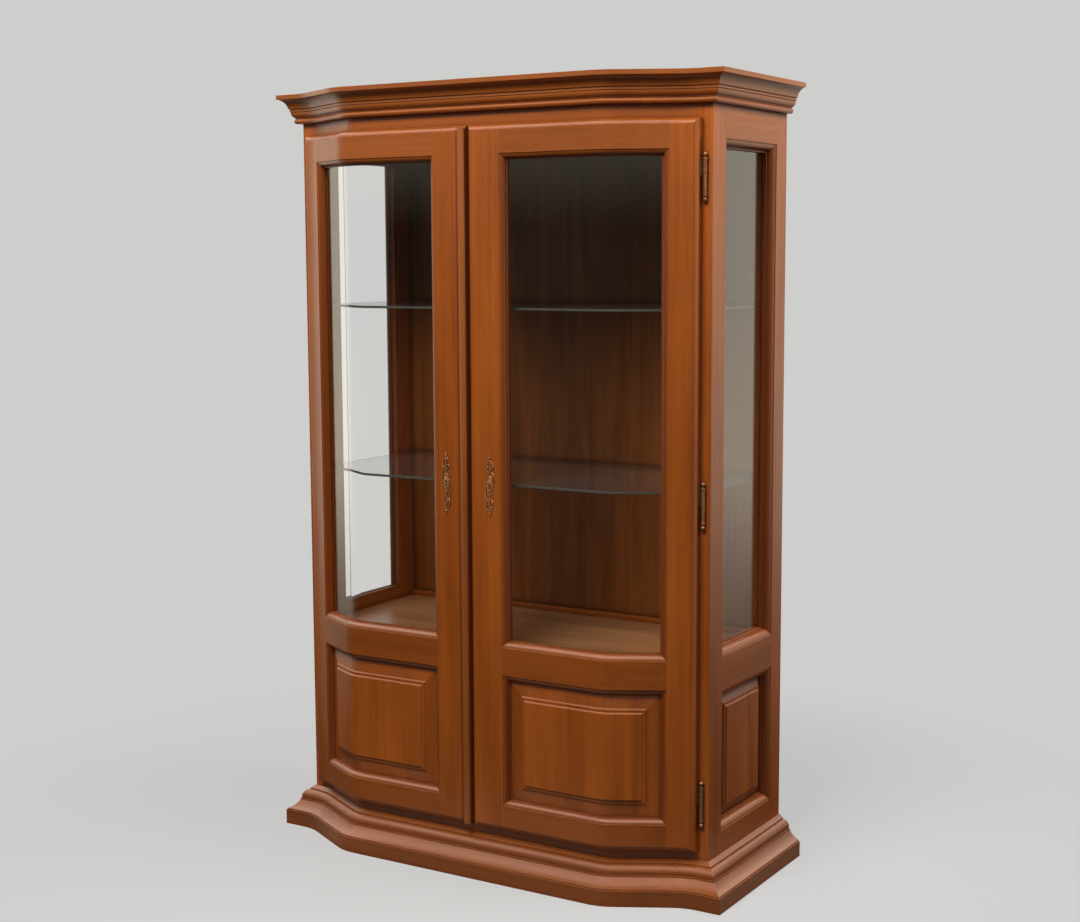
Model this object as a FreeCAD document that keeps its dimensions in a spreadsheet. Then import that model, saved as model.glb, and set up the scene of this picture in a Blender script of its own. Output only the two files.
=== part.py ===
"""Display cabinet with a bowed front: two glazed doors, glazed sides, two glass shelves.

Frame: +X to the right seen from the front, the front faces -Y, +Z up, origin at the middle of the
footprint on the floor. All sizes in millimetres.
"""
import FreeCAD, Part
import math
import os
import re

import Sketcher

# Driving dimensions
SIZES = {
    # overall form: the plinth's edge is the reference line of the bowed front
    "total_height": 1900,
    "total_width": 1270,
    "total_depth": 555,
    "bow": 95,
    "slope_angle": 28.5,
    "convex_radius": 120,
    "concave_radius": 120,
    "corner_flat": 57,
    # plinth
    "plinth_fascia": 38,
    "plinth_quirk": 3,
    "plinth_cove_width": 24,
    "plinth_cove_height": 21,
    "plinth_cove_curve": 1.44,
    "plinth_fillet": 4,
    "plinth_step": 3,
    "plinth_ovolo_width": 11,
    "plinth_ovolo_height": 22,
    "plinth_ovolo_curve": 0.81,
    "plinth_ledge": 5,
    "plinth_ledge_rise": 3,
    "plinth_bevel": 8,
    "plinth_top": 2,
    "plinth_wall": 34,
    "plinth_cap": 39,
    # cornice, from its foot
    "cornice_bead": 12,
    "cornice_bead_height": 13,
    "cornice_bead_curve": 0.54,
    "cornice_step": 2,
    "cornice_neck": 2,
    "cornice_ovolo_width": 8,
    "cornice_ovolo_height": 15,
    "cornice_ovolo_curve": 0.8,
    "cornice_band": 7,
    "cornice_band_step": 3,
    "cornice_cove_width": 18,
    "cornice_cove_height": 23,
    "cornice_cove_curve": 0.9,
    "cornice_tip": 3,
    "cornice_fillet": 11,
    # carcass frame
    "post_width": 45,
    "post_depth": 67,
    "rear_stile_depth": 58,
    "rail_foot": 30,
    "front_rail_thickness": 22,
    "frieze_reveal": 33,
    "top_overlap": 39,
    "plinth_reveal": 23,
    "bottom_overlap": 38,
    # boards
    "top_recess": 8,
    "board_thickness": 18,
    "board_play": 0.2,
    "base_lip": 22,
    "deck_drop": 20,
    "deck_setback": 2,
    "back_thickness": 8,
    "back_lap": 13,
    "back_play": 0.5,
    "skirting_height": 13,
    "skirting_thickness": 12,
    # side frames
    "side_top_reveal": 75,
    "side_bottom_reveal": 53,
    "side_panel_height": 336,
    "side_middle_rail": 81,
    "side_round": 16,
    "side_fillet": 4,
    "side_lip_depth": 26,
    "side_field_margin": 16,
    "side_field_depth": 10,
    "side_tongue": 10,
    # doors
    "door_inset": 30,
    "door_thickness": 26,
    "door_gap": 2,
    "half_gap": 2,
    "hinge_margin": 24,
    "meeting_stile_width": 90,
    "hinge_stile_width": 58,
    "bottom_rail_height": 64,
    "panel_height": 319,
    "middle_rail_height": 68,
    "top_rail_height": 67,
    "edge_round": 12,
    "edge_bend": 14,
    "edge_face": 9,
    "quirk": 2,
    "sticking_round": 12,
    "sticking_fillet": 3,
    "lip_depth": 17,
    "rebate_width": 10,
    "field_margin": 30,
    "field_depth": 4,
    "field_inner": 4,
    "field_ledge": 5,
    "field_outer": 4,
    "bevel_margin": 1,
    "astragal_width": 18,
    "astragal_rise": 7,
    "astragal_edge": 2,
    "astragal_end": 3,
    # glass, beads and shelves
    "glass_thickness": 4,
    "glass_play": 0.3,
    "edge_play": 0.5,
    "shelf_thickness": 6,
    "shelf_inset": 85,
    "shelf_play": 3,
    "lower_shelf_rise": 404,
    "upper_shelf_rise": 417,
    "pin_radius": 3,
    "pin_reach": 8,
    "pin_depth": 10,
    "pin_play": 0.05,
    # hinges
    "axis_margin": 16,
    "barrel_radius": 5.5,
    "barrel_waist": 4.8,
    "collar_length": 5,
    "barrel_play": 0.7,
    "knuckle_length": 42,
    "knuckle_gap": 0.4,
    "hinge_pin_radius": 3,
    "hinge_pin_play": 0.05,
    "hinge_pin_length": 34,
    "finial_length": 13,
    "finial_neck": 3,
    "finial_tip": 2,
    "finial_bend": 6,
    "leaf_thickness": 2,
    "leaf_margin": 1.2,
    "top_hinge_drop": 129,
    "middle_hinge_rise": 808,
    "bottom_hinge_rise": 112,
    # lock
    "lock_rise": 835,
    "backset": 60,
    "lock_width": 80,
    "lock_height": 76,
    "lock_bolt_height": 30,
    "lock_bolt_thickness": 7,
    "lock_bolt_length": 48,
    "lock_bolt_travel": 12,
    "lock_play": 0.2,
    "strike_height": 92,
    "strike_width": 11,
    "strike_thickness": 2,
    "mortise_depth": 12,
    # keyhole plates
    "plate_thickness": 2.5,
    "keyhole_radius": 3.5,
    "keyhole_slot": 3,
    "keyhole_drop": 11,
    "key_clear": 2,
    # slide bolts on the left door
    "bolt_side": 8,
    "bolt_length": 112,
    "bolt_clear": 5,
    "bolt_travel": 18,
    "bolt_play": 0.3,
    "bolt_offset": 60,
    "guide_length": 80,
    "guide_width": 30,
    "guide_thickness": 4.7,
    "staple_length": 10,
    "staple_wall": 3,
    "knob_radius": 5,
    "knob_length": 10,
    "keep_depth": 22,
}

# Sizes worked out from the driving dimensions
WORKED_OUT = {
    "half_width": "total_width / 2",
    "front_y": "-total_depth / 2",
    "back_y": "total_depth / 2",
    "corner_y": "front_y + bow",
    "hollow_x": "half_width - corner_flat",
    "hollow_y": "corner_y - concave_radius",
    "swell_y": "front_y + convex_radius",
    "bend_sum": "convex_radius + concave_radius",
    "slope_length": "(bow - bend_sum * (1 - cos(slope_angle))) / sin(slope_angle)",
    "flat_half": "hollow_x - bend_sum * sin(slope_angle) - slope_length * cos(slope_angle)",
    "carcass_inset": "door_inset + door_thickness + door_gap",
    "carcass_half": "half_width - carcass_inset",
    "carcass_height": "total_height - top_recess - board_thickness",
    "inner_half": "carcass_half - post_width",
    "inner_inset": "carcass_inset + front_rail_thickness",
    "plinth_cove_x": "plinth_quirk + plinth_cove_width",
    "plinth_cove_top": "plinth_fascia + plinth_quirk + plinth_cove_height",
    "plinth_cove_bend": "plinth_cove_curve * sqrt(plinth_cove_width^2 + plinth_cove_height^2)",
    "plinth_ovolo_x": "plinth_cove_x + plinth_step",
    "plinth_ovolo_foot": "plinth_cove_top + plinth_fillet",
    "plinth_ovolo_top": "plinth_ovolo_foot + plinth_ovolo_height",
    "plinth_ovolo_bend": "plinth_ovolo_curve * sqrt(plinth_ovolo_width^2 + plinth_ovolo_height^2)",
    "plinth_ledge_x": "plinth_ovolo_x + plinth_ovolo_width + plinth_ledge",
    "plinth_ledge_top": "plinth_ovolo_top + plinth_ledge_rise",
    "plinth_height": "plinth_ledge_top + plinth_bevel",
    "cornice_cove_x": "cornice_tip + cornice_cove_width",
    "cornice_band_x": "cornice_cove_x + cornice_band_step",
    "cornice_ovolo_x": "cornice_band_x + cornice_step",
    "cornice_neck_x": "cornice_ovolo_x + cornice_ovolo_width",
    "cornice_bead_x": "cornice_neck_x + cornice_step",
    "cornice_reach": "cornice_bead_x + cornice_bead",
    "cornice_inset": "carcass_inset - cornice_reach",
    "cornice_cove_top": "total_height - cornice_fillet",
    "cornice_cove_foot": "cornice_cove_top - cornice_cove_height",
    "cornice_cove_bend": "cornice_cove_curve * sqrt(cornice_cove_width^2 + cornice_cove_height^2)",
    "cornice_ovolo_top": "cornice_cove_foot - cornice_band",
    "cornice_ovolo_foot": "cornice_ovolo_top - cornice_ovolo_height",
    "cornice_ovolo_bend": "cornice_ovolo_curve * sqrt(cornice_ovolo_width^2 + cornice_ovolo_height^2)",
    "cornice_bead_top": "cornice_ovolo_foot - cornice_neck",
    "cornice_bottom": "cornice_bead_top - cornice_bead_height",
    "cornice_bead_bend": "cornice_bead_curve * cornice_bead_height",
    "side_front_edge": "corner_y + carcass_inset + post_depth",
    "side_rear_edge": "back_y - rear_stile_depth",
    "side_panel_bottom": "plinth_height + side_bottom_reveal",
    "side_panel_top": "side_panel_bottom + side_panel_height",
    "side_glass_bottom": "side_panel_top + side_middle_rail",
    "side_glass_top": "cornice_bottom - side_top_reveal",
    "side_sticking": "side_round + side_fillet",
    "side_rebate": "side_sticking - rebate_width",
    "back_front": "back_y - back_thickness - back_play",
    "door_bottom": "plinth_height + plinth_reveal",
    "door_top": "cornice_bottom - frieze_reveal",
    "frieze_bottom": "door_top - top_overlap",
    "bottom_rail_top": "door_bottom + bottom_overlap",
    "base_top": "bottom_rail_top - base_lip",
    "panel_bottom": "door_bottom + bottom_rail_height",
    "panel_top": "panel_bottom + panel_height",
    "glass_bottom": "panel_top + middle_rail_height",
    "glass_top": "door_top - top_rail_height",
    "deck_top": "glass_bottom - deck_drop",
    "lower_shelf_top": "deck_top + lower_shelf_rise",
    "upper_shelf_top": "lower_shelf_top + upper_shelf_rise",
    "door_face": "front_y + door_inset",
    "door_edge": "carcass_half - hinge_margin",
    "meeting_edge": "half_gap + meeting_stile_width",
    "hinge_edge": "door_edge - hinge_stile_width",
    "hinge_edge_run": "(hinge_edge - flat_half) * sin(slope_angle)",
    "hinge_edge_y": "swell_y + (hinge_edge_run - convex_radius + door_inset) / cos(slope_angle)",
    "outer_face_x": "door_edge - edge_face",
    "outer_turn": "asin((hollow_x - outer_face_x) / (concave_radius + door_inset))",
    "outer_face_y": "hollow_y + (concave_radius + door_inset) * cos(outer_turn)",
    "outer_depth": "quirk + edge_round",
    "outer_round_y": "outer_face_y + edge_round * sin(outer_turn) + outer_depth * cos(outer_turn)",
    "sticking": "sticking_round + sticking_fillet",
    "rebate": "sticking - rebate_width",
    "field_width": "field_inner + field_ledge + field_outer",
    "glass_front": "lip_depth + glass_play",
    "glass_back": "glass_front + glass_thickness",
    "bead_front": "glass_back + glass_play",
    "axis_x": "carcass_half - axis_margin",
    "post_face_y": "hollow_y + sqrt((concave_radius + carcass_inset)^2 - (axis_x - hollow_x)^2)",
    "axis_y": "post_face_y - barrel_play - barrel_radius",
    "top_hinge": "door_top - top_hinge_drop",
    "middle_hinge": "door_bottom + middle_hinge_rise",
    "bottom_hinge": "door_bottom + bottom_hinge_rise",
    "lock_middle": "door_bottom + lock_rise",
    "lock_front": "quirk + edge_round",
    "plate_x": "half_gap + backset",
    "lock_bolt_y": "door_face + (lock_front + door_thickness) / 2",
    "bolt_y": "door_face + door_thickness + guide_thickness + bolt_play",
}

# The bowed front has four zones from its middle to its corner
ZONES = ("middle", "slope", "hollow", "corner")

# How far a cutting outline reaches past the piece that it shapes
OVER = "8"

DOC = FreeCAD.newDocument("DisplayCabinet")
SHEET = DOC.addObject("Spreadsheet::Sheet", "Sizes")
PARTS = {}


def fill_sheet():
    """Writes the driving dimensions as plain numbers and the worked-out sizes as formulas."""
    rows = [(name, str(value)) for name, value in SIZES.items()]
    rows += [(name, "=" + formula) for name, formula in WORKED_OUT.items()]
    for row, (name, text) in enumerate(rows, 1):
        SHEET.set(f"A{row}", name)
        SHEET.set(f"B{row}", text)
        SHEET.setAlias(f"B{row}", name)
    DOC.recompute()


def link(text):
    """Turns the size names in a formula into references to the sheet."""
    def name(match):
        word = match.group()
        known = word in SIZES or word in WORKED_OUT
        return "Sizes." + word if known else word
    return re.sub(r"[a-z_]+", name, text)


def number(text):
    """The present value of a formula of size names."""
    value = SHEET.evalExpression(link(text))
    return float(getattr(value, "Value", value))


def keep(label, piece):
    """Names a finished piece, which is written to a file of that name."""
    piece.Label = label
    PARTS[label] = piece
    return piece


# Sketches: a corner is (x, y) or (x, y, bend), where bend is the radius of the arc to the next
# corner, positive where the outline turns left

def arc_between(start, stop, radius):
    """Arc from start to stop, with its centre on the left where the radius is positive."""
    chord = stop - start
    left = FreeCAD.Vector(-chord.y, chord.x, 0).normalize()
    rise = math.sqrt(max(radius**2 - (chord.Length / 2)**2, 0))
    centre = (start + stop) / 2 + left * math.copysign(rise, radius)
    first, last = (start, stop) if radius > 0 else (stop, start)
    angles = [math.atan2(end.y - centre.y, end.x - centre.x) for end in (first, last)]
    return Part.ArcOfCircle(Part.Circle(centre, FreeCAD.Vector(0, 0, 1), abs(radius)), *angles)


def draw(sketch, corners, closed=True):
    """Draws an outline in a sketch, with each corner and radius bound to the sheet."""
    points = [FreeCAD.Vector(number(corner[0]), number(corner[1]), 0) for corner in corners]
    count = len(points) if closed else len(points) - 1
    ends = []
    for index in range(count):
        start, stop = points[index], points[(index + 1) % len(points)]
        if len(corners[index]) == 2:
            ends.append((sketch.addGeometry(Part.LineSegment(start, stop), False), 1, 2))
            continue
        bend = corners[index][2]
        radius = number(bend)
        edge = sketch.addGeometry(arc_between(start, stop, radius), False)
        ends.append((edge, 1, 2) if radius > 0 else (edge, 2, 1))
        bind(sketch, Sketcher.Constraint("Radius", edge, abs(radius)), f"abs({bend})")
    for index in range(count if closed else count - 1):
        here, there = ends[index], ends[(index + 1) % count]
        sketch.addConstraint(Sketcher.Constraint("Coincident", here[0], here[2], there[0], there[1]))
    for index, corner in enumerate(corners):
        edge, place = ends[index][:2] if index < count else ends[-1][::2]
        across = Sketcher.Constraint("DistanceX", -1, 1, edge, place, points[index].x)
        along = Sketcher.Constraint("DistanceY", -1, 1, edge, place, points[index].y)
        bind(sketch, across, corner[0])
        bind(sketch, along, corner[1])
    return sketch


def bind(sketch, constraint, text):
    """Adds a constraint whose value follows a formula of the sheet."""
    index = sketch.addConstraint(constraint)
    sketch.setExpression(f"Constraints[{index}]", link(text))


X_AXIS, Y_AXIS, Z_AXIS = (FreeCAD.Vector(*axis) for axis in ((1, 0, 0), (0, 1, 0), (0, 0, 1)))
PLANES = {
    "XY": (FreeCAD.Rotation(), "z"),
    "YZ": (FreeCAD.Rotation(Y_AXIS, Z_AXIS, X_AXIS), "x"),
    "XZ": (FreeCAD.Rotation(X_AXIS, Z_AXIS, -Y_AXIS), "y"),
}


def outline(name, corners, plane="XY", at="0", closed=True):
    """A sketch on one of the main planes, moved along its normal to a bound place."""
    sketch = DOC.addObject("Sketcher::SketchObject", name + "_outline")
    rotation, axis = PLANES[plane]
    sketch.Placement = FreeCAD.Placement(FreeCAD.Vector(), rotation)
    sketch.setExpression(f"Placement.Base.{axis}", link(at))
    return draw(sketch, corners, closed)


def extrude(name, sketch, direction, length):
    """Pulls a closed sketch along a direction by a bound length."""
    piece = DOC.addObject("Part::Extrusion", name)
    piece.Base = sketch
    piece.DirMode = "Custom"
    piece.Dir = direction
    piece.Solid = True
    piece.setExpression("LengthFwd", link(length))
    return piece


def upright(name, corners, bottom, top):
    """Vertical prism over a plan outline, from one height to another."""
    return extrude(name, outline(name, corners, "XY", bottom), Z_AXIS, f"{top} - ({bottom})")


def sweep(name, section, path):
    """Runs a closed section along an open path."""
    DOC.recompute()
    piece = DOC.addObject("Part::Sweep", name)
    piece.Sections = [section]
    piece.Spine = (path, [f"Edge{index + 1}" for index in range(len(path.Shape.Edges))])
    piece.Solid = True
    return piece


def boolean(kind, name, base, tool):
    """Cut, Common or Fuse of two pieces."""
    piece = DOC.addObject("Part::" + kind, name)
    piece.Base = base
    piece.Tool = tool
    return piece


def group(name, pieces):
    """Separate solids held together as one node."""
    piece = DOC.addObject("Part::Compound", name)
    piece.Links = pieces
    return piece


def mirror(name, source):
    """The left-hand counterpart of a right-hand piece."""
    piece = DOC.addObject("Part::Mirroring", name)
    piece.Source = source
    piece.Normal = X_AXIS
    return piece


def place(piece, x, y, z):
    """Binds a piece's position to the sheet."""
    for axis, text in zip("xyz", (x, y, z)):
        piece.setExpression(f"Placement.Base.{axis}", link(text))
    return piece


def box(name, x, y, z):
    """Box between pairs of formulas (low, high) along x, y and z."""
    piece = DOC.addObject("Part::Box", name)
    for size, (low, high) in zip(("Length", "Width", "Height"), (x, y, z)):
        piece.setExpression(size, link(f"{high} - ({low})"))
    return place(piece, x[0], y[0], z[0])


def cylinder(name, radius, length, start, direction):
    """Cylinder from a start point (three formulas) along a main direction."""
    piece = DOC.addObject("Part::Cylinder", name)
    piece.setExpression("Radius", link(radius))
    piece.setExpression("Height", link(length))
    piece.Placement = FreeCAD.Placement(FreeCAD.Vector(), FreeCAD.Rotation(Z_AXIS, direction))
    return place(piece, *start)


def body_sketch(body, name, role, corners, rise):
    """A sketch of a body, on one of its origin planes moved along the normal."""
    sketch = body.newObject("Sketcher::SketchObject", name)
    plane = next(item for item in body.Origin.OriginFeatures if item.Role == role)
    sketch.AttachmentSupport = (plane, [""])
    sketch.MapMode = "FlatFace"
    sketch.setExpression("AttachmentOffset.Base.z", link(rise))
    return draw(sketch, corners)


def board(label, corners, bottom, thickness):
    """Flat board or glass sheet padded from its plan outline."""
    body = DOC.addObject("PartDesign::Body", label + "_body")
    pad = body.newObject("PartDesign::Pad", label + "_pad")
    pad.Profile = body_sketch(body, label + "_plan", "XY_Plane", corners, bottom)
    pad.setExpression("Length", link(thickness))
    return keep(label, body)


# The bowed front

def swell(inset):
    """Radius of the convex bend at an inset from the plinth's edge."""
    return f"(convex_radius - ({inset}))"


def hollow(inset):
    """Radius of the concave bend at an inset from the plinth's edge."""
    return f"(concave_radius + ({inset}))"


def front_at(x, inset, zone):
    """Depth of the front line at a place x of a zone."""
    if zone == "middle":
        return f"front_y + ({inset})"
    if zone == "slope":
        return f"swell_y + (({x} - flat_half) * sin(slope_angle) - {swell(inset)}) / cos(slope_angle)"
    if zone == "hollow":
        return f"hollow_y + sqrt({hollow(inset)}^2 - ({x} - hollow_x)^2)"
    return f"corner_y + ({inset})"


def front_run(inset, start, stop, first="middle", last="hollow"):
    """Corners of the front line at an inset, from x start in one zone to x stop in another."""
    begin, end = ZONES.index(first), ZONES.index(last)
    bend_in = (f"-{hollow(inset)}",)
    run = [(start, front_at(start, inset, first)) + (bend_in if first == "hollow" else ())]
    if begin < 1 <= end:
        run.append(("flat_half", f"front_y + ({inset})", swell(inset)))
        run.append((f"flat_half + {swell(inset)} * sin(slope_angle)",
                    f"swell_y - {swell(inset)} * cos(slope_angle)"))
    if begin < 2 <= end:
        foot = (f"hollow_x - {hollow(inset)} * sin(slope_angle)",
                f"hollow_y + {hollow(inset)} * cos(slope_angle)")
        run.append(foot + bend_in)
    if begin < 3 <= end:
        run.append(("hollow_x", f"corner_y + ({inset})"))
    run.append((stop, front_at(stop, inset, last)))
    return run


def backwards(run):
    """The same line drawn from its other end."""
    bends = [corner[2:] for corner in run[:-1]][::-1] + [()]
    ends = [corner[:2] for corner in run][::-1]
    return [end + tuple(f"-({text})" for text in bend) for end, bend in zip(ends, bends)]


def flipped(run, axis):
    """Mirror image of a run across the middle in x (axis 0) or y (axis 1), from its other end."""
    image = []
    for corner in backwards(run):
        ends = [f"-({text})" if index == axis else text for index, text in enumerate(corner[:2])]
        image.append(tuple(ends) + tuple(f"-({text})" for text in corner[2:]))
    return image


def both_sides(run):
    """A run on the right, continued from its mirror image on the left."""
    return flipped(run, 0) + run


def front_band(front, back, stop, last):
    """Plan of a curved rail across the whole front, between two insets."""
    outer = both_sides(front_run(front, "0", stop, "middle", last)[1:])
    inner = both_sides(front_run(back, "0", stop, "middle", last)[1:])
    return outer + backwards(inner)


def front_board(inset, half, rear, last="hollow"):
    """Plan of a board with a bowed front edge and square back corners."""
    return both_sides(front_run(inset, "0", half, "middle", last)[1:] + [(half, rear)])


# Edge mouldings: a list of corners from the face to the back, where place(t, n) gives the corner
# t past the edge of the face and n deep, and side is "-" where that outline turns right

def sticking(place, side, depth, front="0", kind="door"):
    """Rounded inner edge of a frame, with a lip and a rebate for the glass or panel."""
    if kind == "door":
        bend, width, lip, wall = "sticking_round", "sticking", "lip_depth", "rebate"
    else:
        bend, width, lip, wall = "side_round", "side_sticking", "side_lip_depth", "side_rebate"
    return [
        place("0", front),
        place("0", "quirk") + (side + bend,),
        place(bend, f"quirk + {bend}"),
        place(width, f"quirk + {bend}"),
        place(width, lip),
        place(wall, lip),
        place(wall, depth),
    ]


def thumbnail(place, side, depth, front="0"):
    """Rounded outer edge of a door."""
    return [
        place("0", front),
        place("0", "quirk") + (side + "edge_bend",),
        place("edge_round", "quirk + edge_round"),
        place("edge_round", depth),
    ]


def fielding(place, side, margin, depth, edge, tongue, rebate, back):
    """Edge of a raised panel: two quarter rounds with a ledge between, bevel and tongue."""
    return [
        place(f"{margin} + field_width", depth) + (side + "field_inner",),
        place(f"{margin} + field_outer + field_ledge", f"{depth} + field_inner"),
        place(f"{margin} + field_outer", f"{depth} + field_inner") + (side + "field_outer",),
        place(margin, f"{depth} + field_inner + field_outer"),
        place(edge, f"{tongue} - glass_play - quirk / 2"),
        place(edge, tongue),
        place(f"{rebate} + edge_play", tongue),
        place(f"{rebate} + edge_play", back),
    ]


def meeting(t, n):
    """Plan corner at the meeting stile's inner edge of the right door."""
    return (f"meeting_edge + {t}", f"door_face + ({n})")


def hinged(t, n):
    """Plan corner at the hinge stile's inner edge of the right door, square to the slope."""
    x = f"hinge_edge - ({t}) * cos(slope_angle) - ({n}) * sin(slope_angle)"
    y = f"hinge_edge_y - ({t}) * sin(slope_angle) + ({n}) * cos(slope_angle)"
    return (x, y)


def leading(t, n):
    """Plan corner at the meeting stile's outer edge of the right door."""
    return (f"half_gap + edge_round - ({t})", f"door_face + ({n})")


def outer(t, n):
    """Plan corner at the hinge stile's outer edge of the right door, square to the hollow."""
    x = f"outer_face_x + ({t}) * cos(outer_turn) - ({n}) * sin(outer_turn)"
    y = f"outer_face_y + ({t}) * sin(outer_turn) + ({n}) * cos(outer_turn)"
    return (x, y)


def above(height):
    """Section corners of an edge that looks up, measured from a height on the door's face."""
    return lambda t, n: (f"door_face + ({n})", f"{height} + {t}")


def below(height):
    """Section corners of an edge that looks down, measured from a height on the door's face."""
    return lambda t, n: (f"door_face + ({n})", f"{height} - ({t})")


# Plinth and cornice

def moulding_set(name, inset, section, top):
    """A moulding round the front and both sides, mitred at the front corners.

    Section corners are (depth from the outer edge, height) in formulas, from the inner foot.
    """
    half = f"(half_width - ({inset}))"
    edge = f"(corner_y + {inset})"
    reach = f"(carcass_inset - ({inset}))"
    path_run = both_sides(front_run(inset, "0", half, "middle", "corner")[1:])
    path = outline(name + "_path", path_run, closed=False)
    profile = [(f"{edge} + {corner[0]}",) + corner[1:] for corner in section]
    front = sweep(name + "_front_run", outline(name + "_section", profile, "YZ", f"-{half}"), path)
    mitre = [(half, f"front_y - {OVER}"), (half, edge), (f"{half} - {reach}", f"{edge} + {reach}")]
    mask = upright(name + "_front_mask", both_sides(mitre), "0", top)
    keep(name + "_front", boolean("Common", name + "_front_cut", front, mask))
    turned_profile = [(f"{half} - ({corner[0]})", corner[1]) + tuple(f"-({bend})" for bend in corner[2:])
                      for corner in section]
    sides = outline(name + "_side_section", turned_profile, "XZ", "back_y")
    run = extrude(name + "_side_run", sides, -Y_AXIS, f"back_y - {edge}")
    wedge = [(half, edge), (half, "back_y"), (f"{half} - {reach}", "back_y"),
             (f"{half} - {reach}", f"{edge} + {reach}")]
    side_mask = upright(name + "_side_mask", wedge, "0", top)
    right = keep(name + "_right", boolean("Common", name + "_right_cut", run, side_mask))
    keep(name + "_left", mirror(name + "_left_copy", right))


def plinth():
    """Moulded plinth: fascia, cove, ovolo and a bevelled top against the carcass."""
    section = [
        ("carcass_inset", "plinth_height - plinth_cap"),
        ("plinth_wall", "plinth_height - plinth_cap"),
        ("plinth_wall", "0"),
        ("0", "0"),
        ("0", "plinth_fascia"),
        ("plinth_quirk", "plinth_fascia"),
        ("plinth_quirk", "plinth_fascia + plinth_quirk", "plinth_cove_bend"),
        ("plinth_cove_x", "plinth_cove_top"),
        ("plinth_cove_x", "plinth_ovolo_foot"),
        ("plinth_ovolo_x", "plinth_ovolo_foot", "-plinth_ovolo_bend"),
        ("plinth_ovolo_x + plinth_ovolo_width", "plinth_ovolo_top"),
        ("plinth_ledge_x", "plinth_ovolo_top"),
        ("plinth_ledge_x", "plinth_ledge_top"),
        ("carcass_inset - plinth_top", "plinth_height"),
        ("carcass_inset", "plinth_height"),
    ]
    moulding_set("plinth", "0", section, "plinth_height")


def cornice():
    """Moulded cornice: top fillet, cove, ovolo and a bead at its foot."""
    section = [
        ("cornice_reach", "cornice_bottom"),
        ("cornice_bead_x", "cornice_bottom", "-cornice_bead_bend"),
        ("cornice_bead_x", "cornice_bead_top"),
        ("cornice_neck_x", "cornice_bead_top"),
        ("cornice_neck_x", "cornice_ovolo_foot", "-cornice_ovolo_bend"),
        ("cornice_ovolo_x", "cornice_ovolo_top"),
        ("cornice_band_x", "cornice_ovolo_top"),
        ("cornice_band_x", "cornice_cove_foot"),
        ("cornice_cove_x", "cornice_cove_foot", "cornice_cove_bend"),
        ("cornice_tip", "cornice_cove_top"),
        ("0", "cornice_cove_top"),
        ("0", "total_height"),
        ("cornice_reach", "total_height"),
    ]
    moulding_set("cornice", "cornice_inset", section, "total_height")


# Carcass

def posts_and_stiles():
    """Front corner posts and rear stiles, with bores for the shelf pins."""
    def front_edge(t, n):
        return (f"carcass_half - ({n})", f"side_front_edge + {t}")

    def rear_edge(t, n):
        return (f"carcass_half - ({n})", f"side_rear_edge - ({t})")

    face = front_run("carcass_inset", "inner_half", "carcass_half", "hollow", "hollow")
    post_plan = face + sticking(front_edge, "", "post_width", kind="side")
    post = upright("post", post_plan, "0", "carcass_height")
    lap = [("carcass_half", "back_y"), ("inner_half + back_lap", "back_y"),
           ("inner_half + back_lap", "back_front"), ("inner_half", "back_front")]
    stile_plan = sticking(rear_edge, "-", "post_width", kind="side") + lap[::-1]
    stile = upright("rear_stile", stile_plan, "0", "carcass_height")
    for name, piece, y in (("post", post, "front"), ("rear_stile", stile, "rear")):
        bored = boolean("Cut", name + "_bored", piece, group(name + "_bores", pins(y, "pin_play")))
        keep(name + "_right", bored)
        keep(name + "_left", mirror(name + "_left_copy", bored))


PIN_PLACES = {"front": "side_front_edge - post_depth / 2", "rear": "side_rear_edge + rear_stile_depth / 2"}


def pins(row, play):
    """The shelf pins of one upright, or their bores where play is given."""
    pieces = []
    for shelf in ("lower_shelf_top", "upper_shelf_top"):
        height = f"{shelf} - shelf_thickness - pin_radius"
        start = ("inner_half - pin_reach", PIN_PLACES[row], height)
        name = f"pin_{row}_{shelf}_{play}"
        length = f"pin_reach + pin_depth + {play}"
        pieces.append(cylinder(name, f"pin_radius + {play}", length, start, X_AXIS))
    return pieces


def shelf_pins():
    """All eight shelf pins as one node."""
    right = group("pins_right", pins("front", "0") + pins("rear", "0"))
    keep("shelf_pins", group("pins_all", [right, mirror("pins_left", right)]))


def side_rails():
    """Top, middle and bottom rails of both glazed sides, fitted to the uprights."""
    def over(height):
        return lambda t, n: (f"carcass_half - ({n})", f"{height} + {t}")

    def under(height):
        return lambda t, n: (f"carcass_half - ({n})", f"{height} - ({t})")

    def square(height):
        return [("inner_half", height), ("carcass_half", height)]

    uprights = group("side_uprights", [PARTS["post_right"], PARTS["rear_stile_right"]])
    down = backwards(sticking(under("side_glass_top"), "-", "post_width", kind="side"))
    sections = {
        "side_top_rail": square("carcass_height") + backwards(down),
        "side_middle_rail": backwards(sticking(over("side_glass_bottom"), "", "post_width", kind="side"))
        + sticking(under("side_panel_top"), "-", "post_width", kind="side"),
        "side_bottom_rail": backwards(sticking(over("side_panel_bottom"), "", "post_width", kind="side"))
        + square("rail_foot")[::-1],
    }
    for name, section in sections.items():
        sketch = outline(name, section, "XZ", "side_rear_edge")
        bar = extrude(name + "_bar", sketch, -Y_AXIS, "side_rear_edge - side_front_edge")
        rail = keep(name + "_right", boolean("Cut", name + "_coped", bar, uprights))
        keep(name + "_left", mirror(name + "_left_copy", rail))


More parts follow.
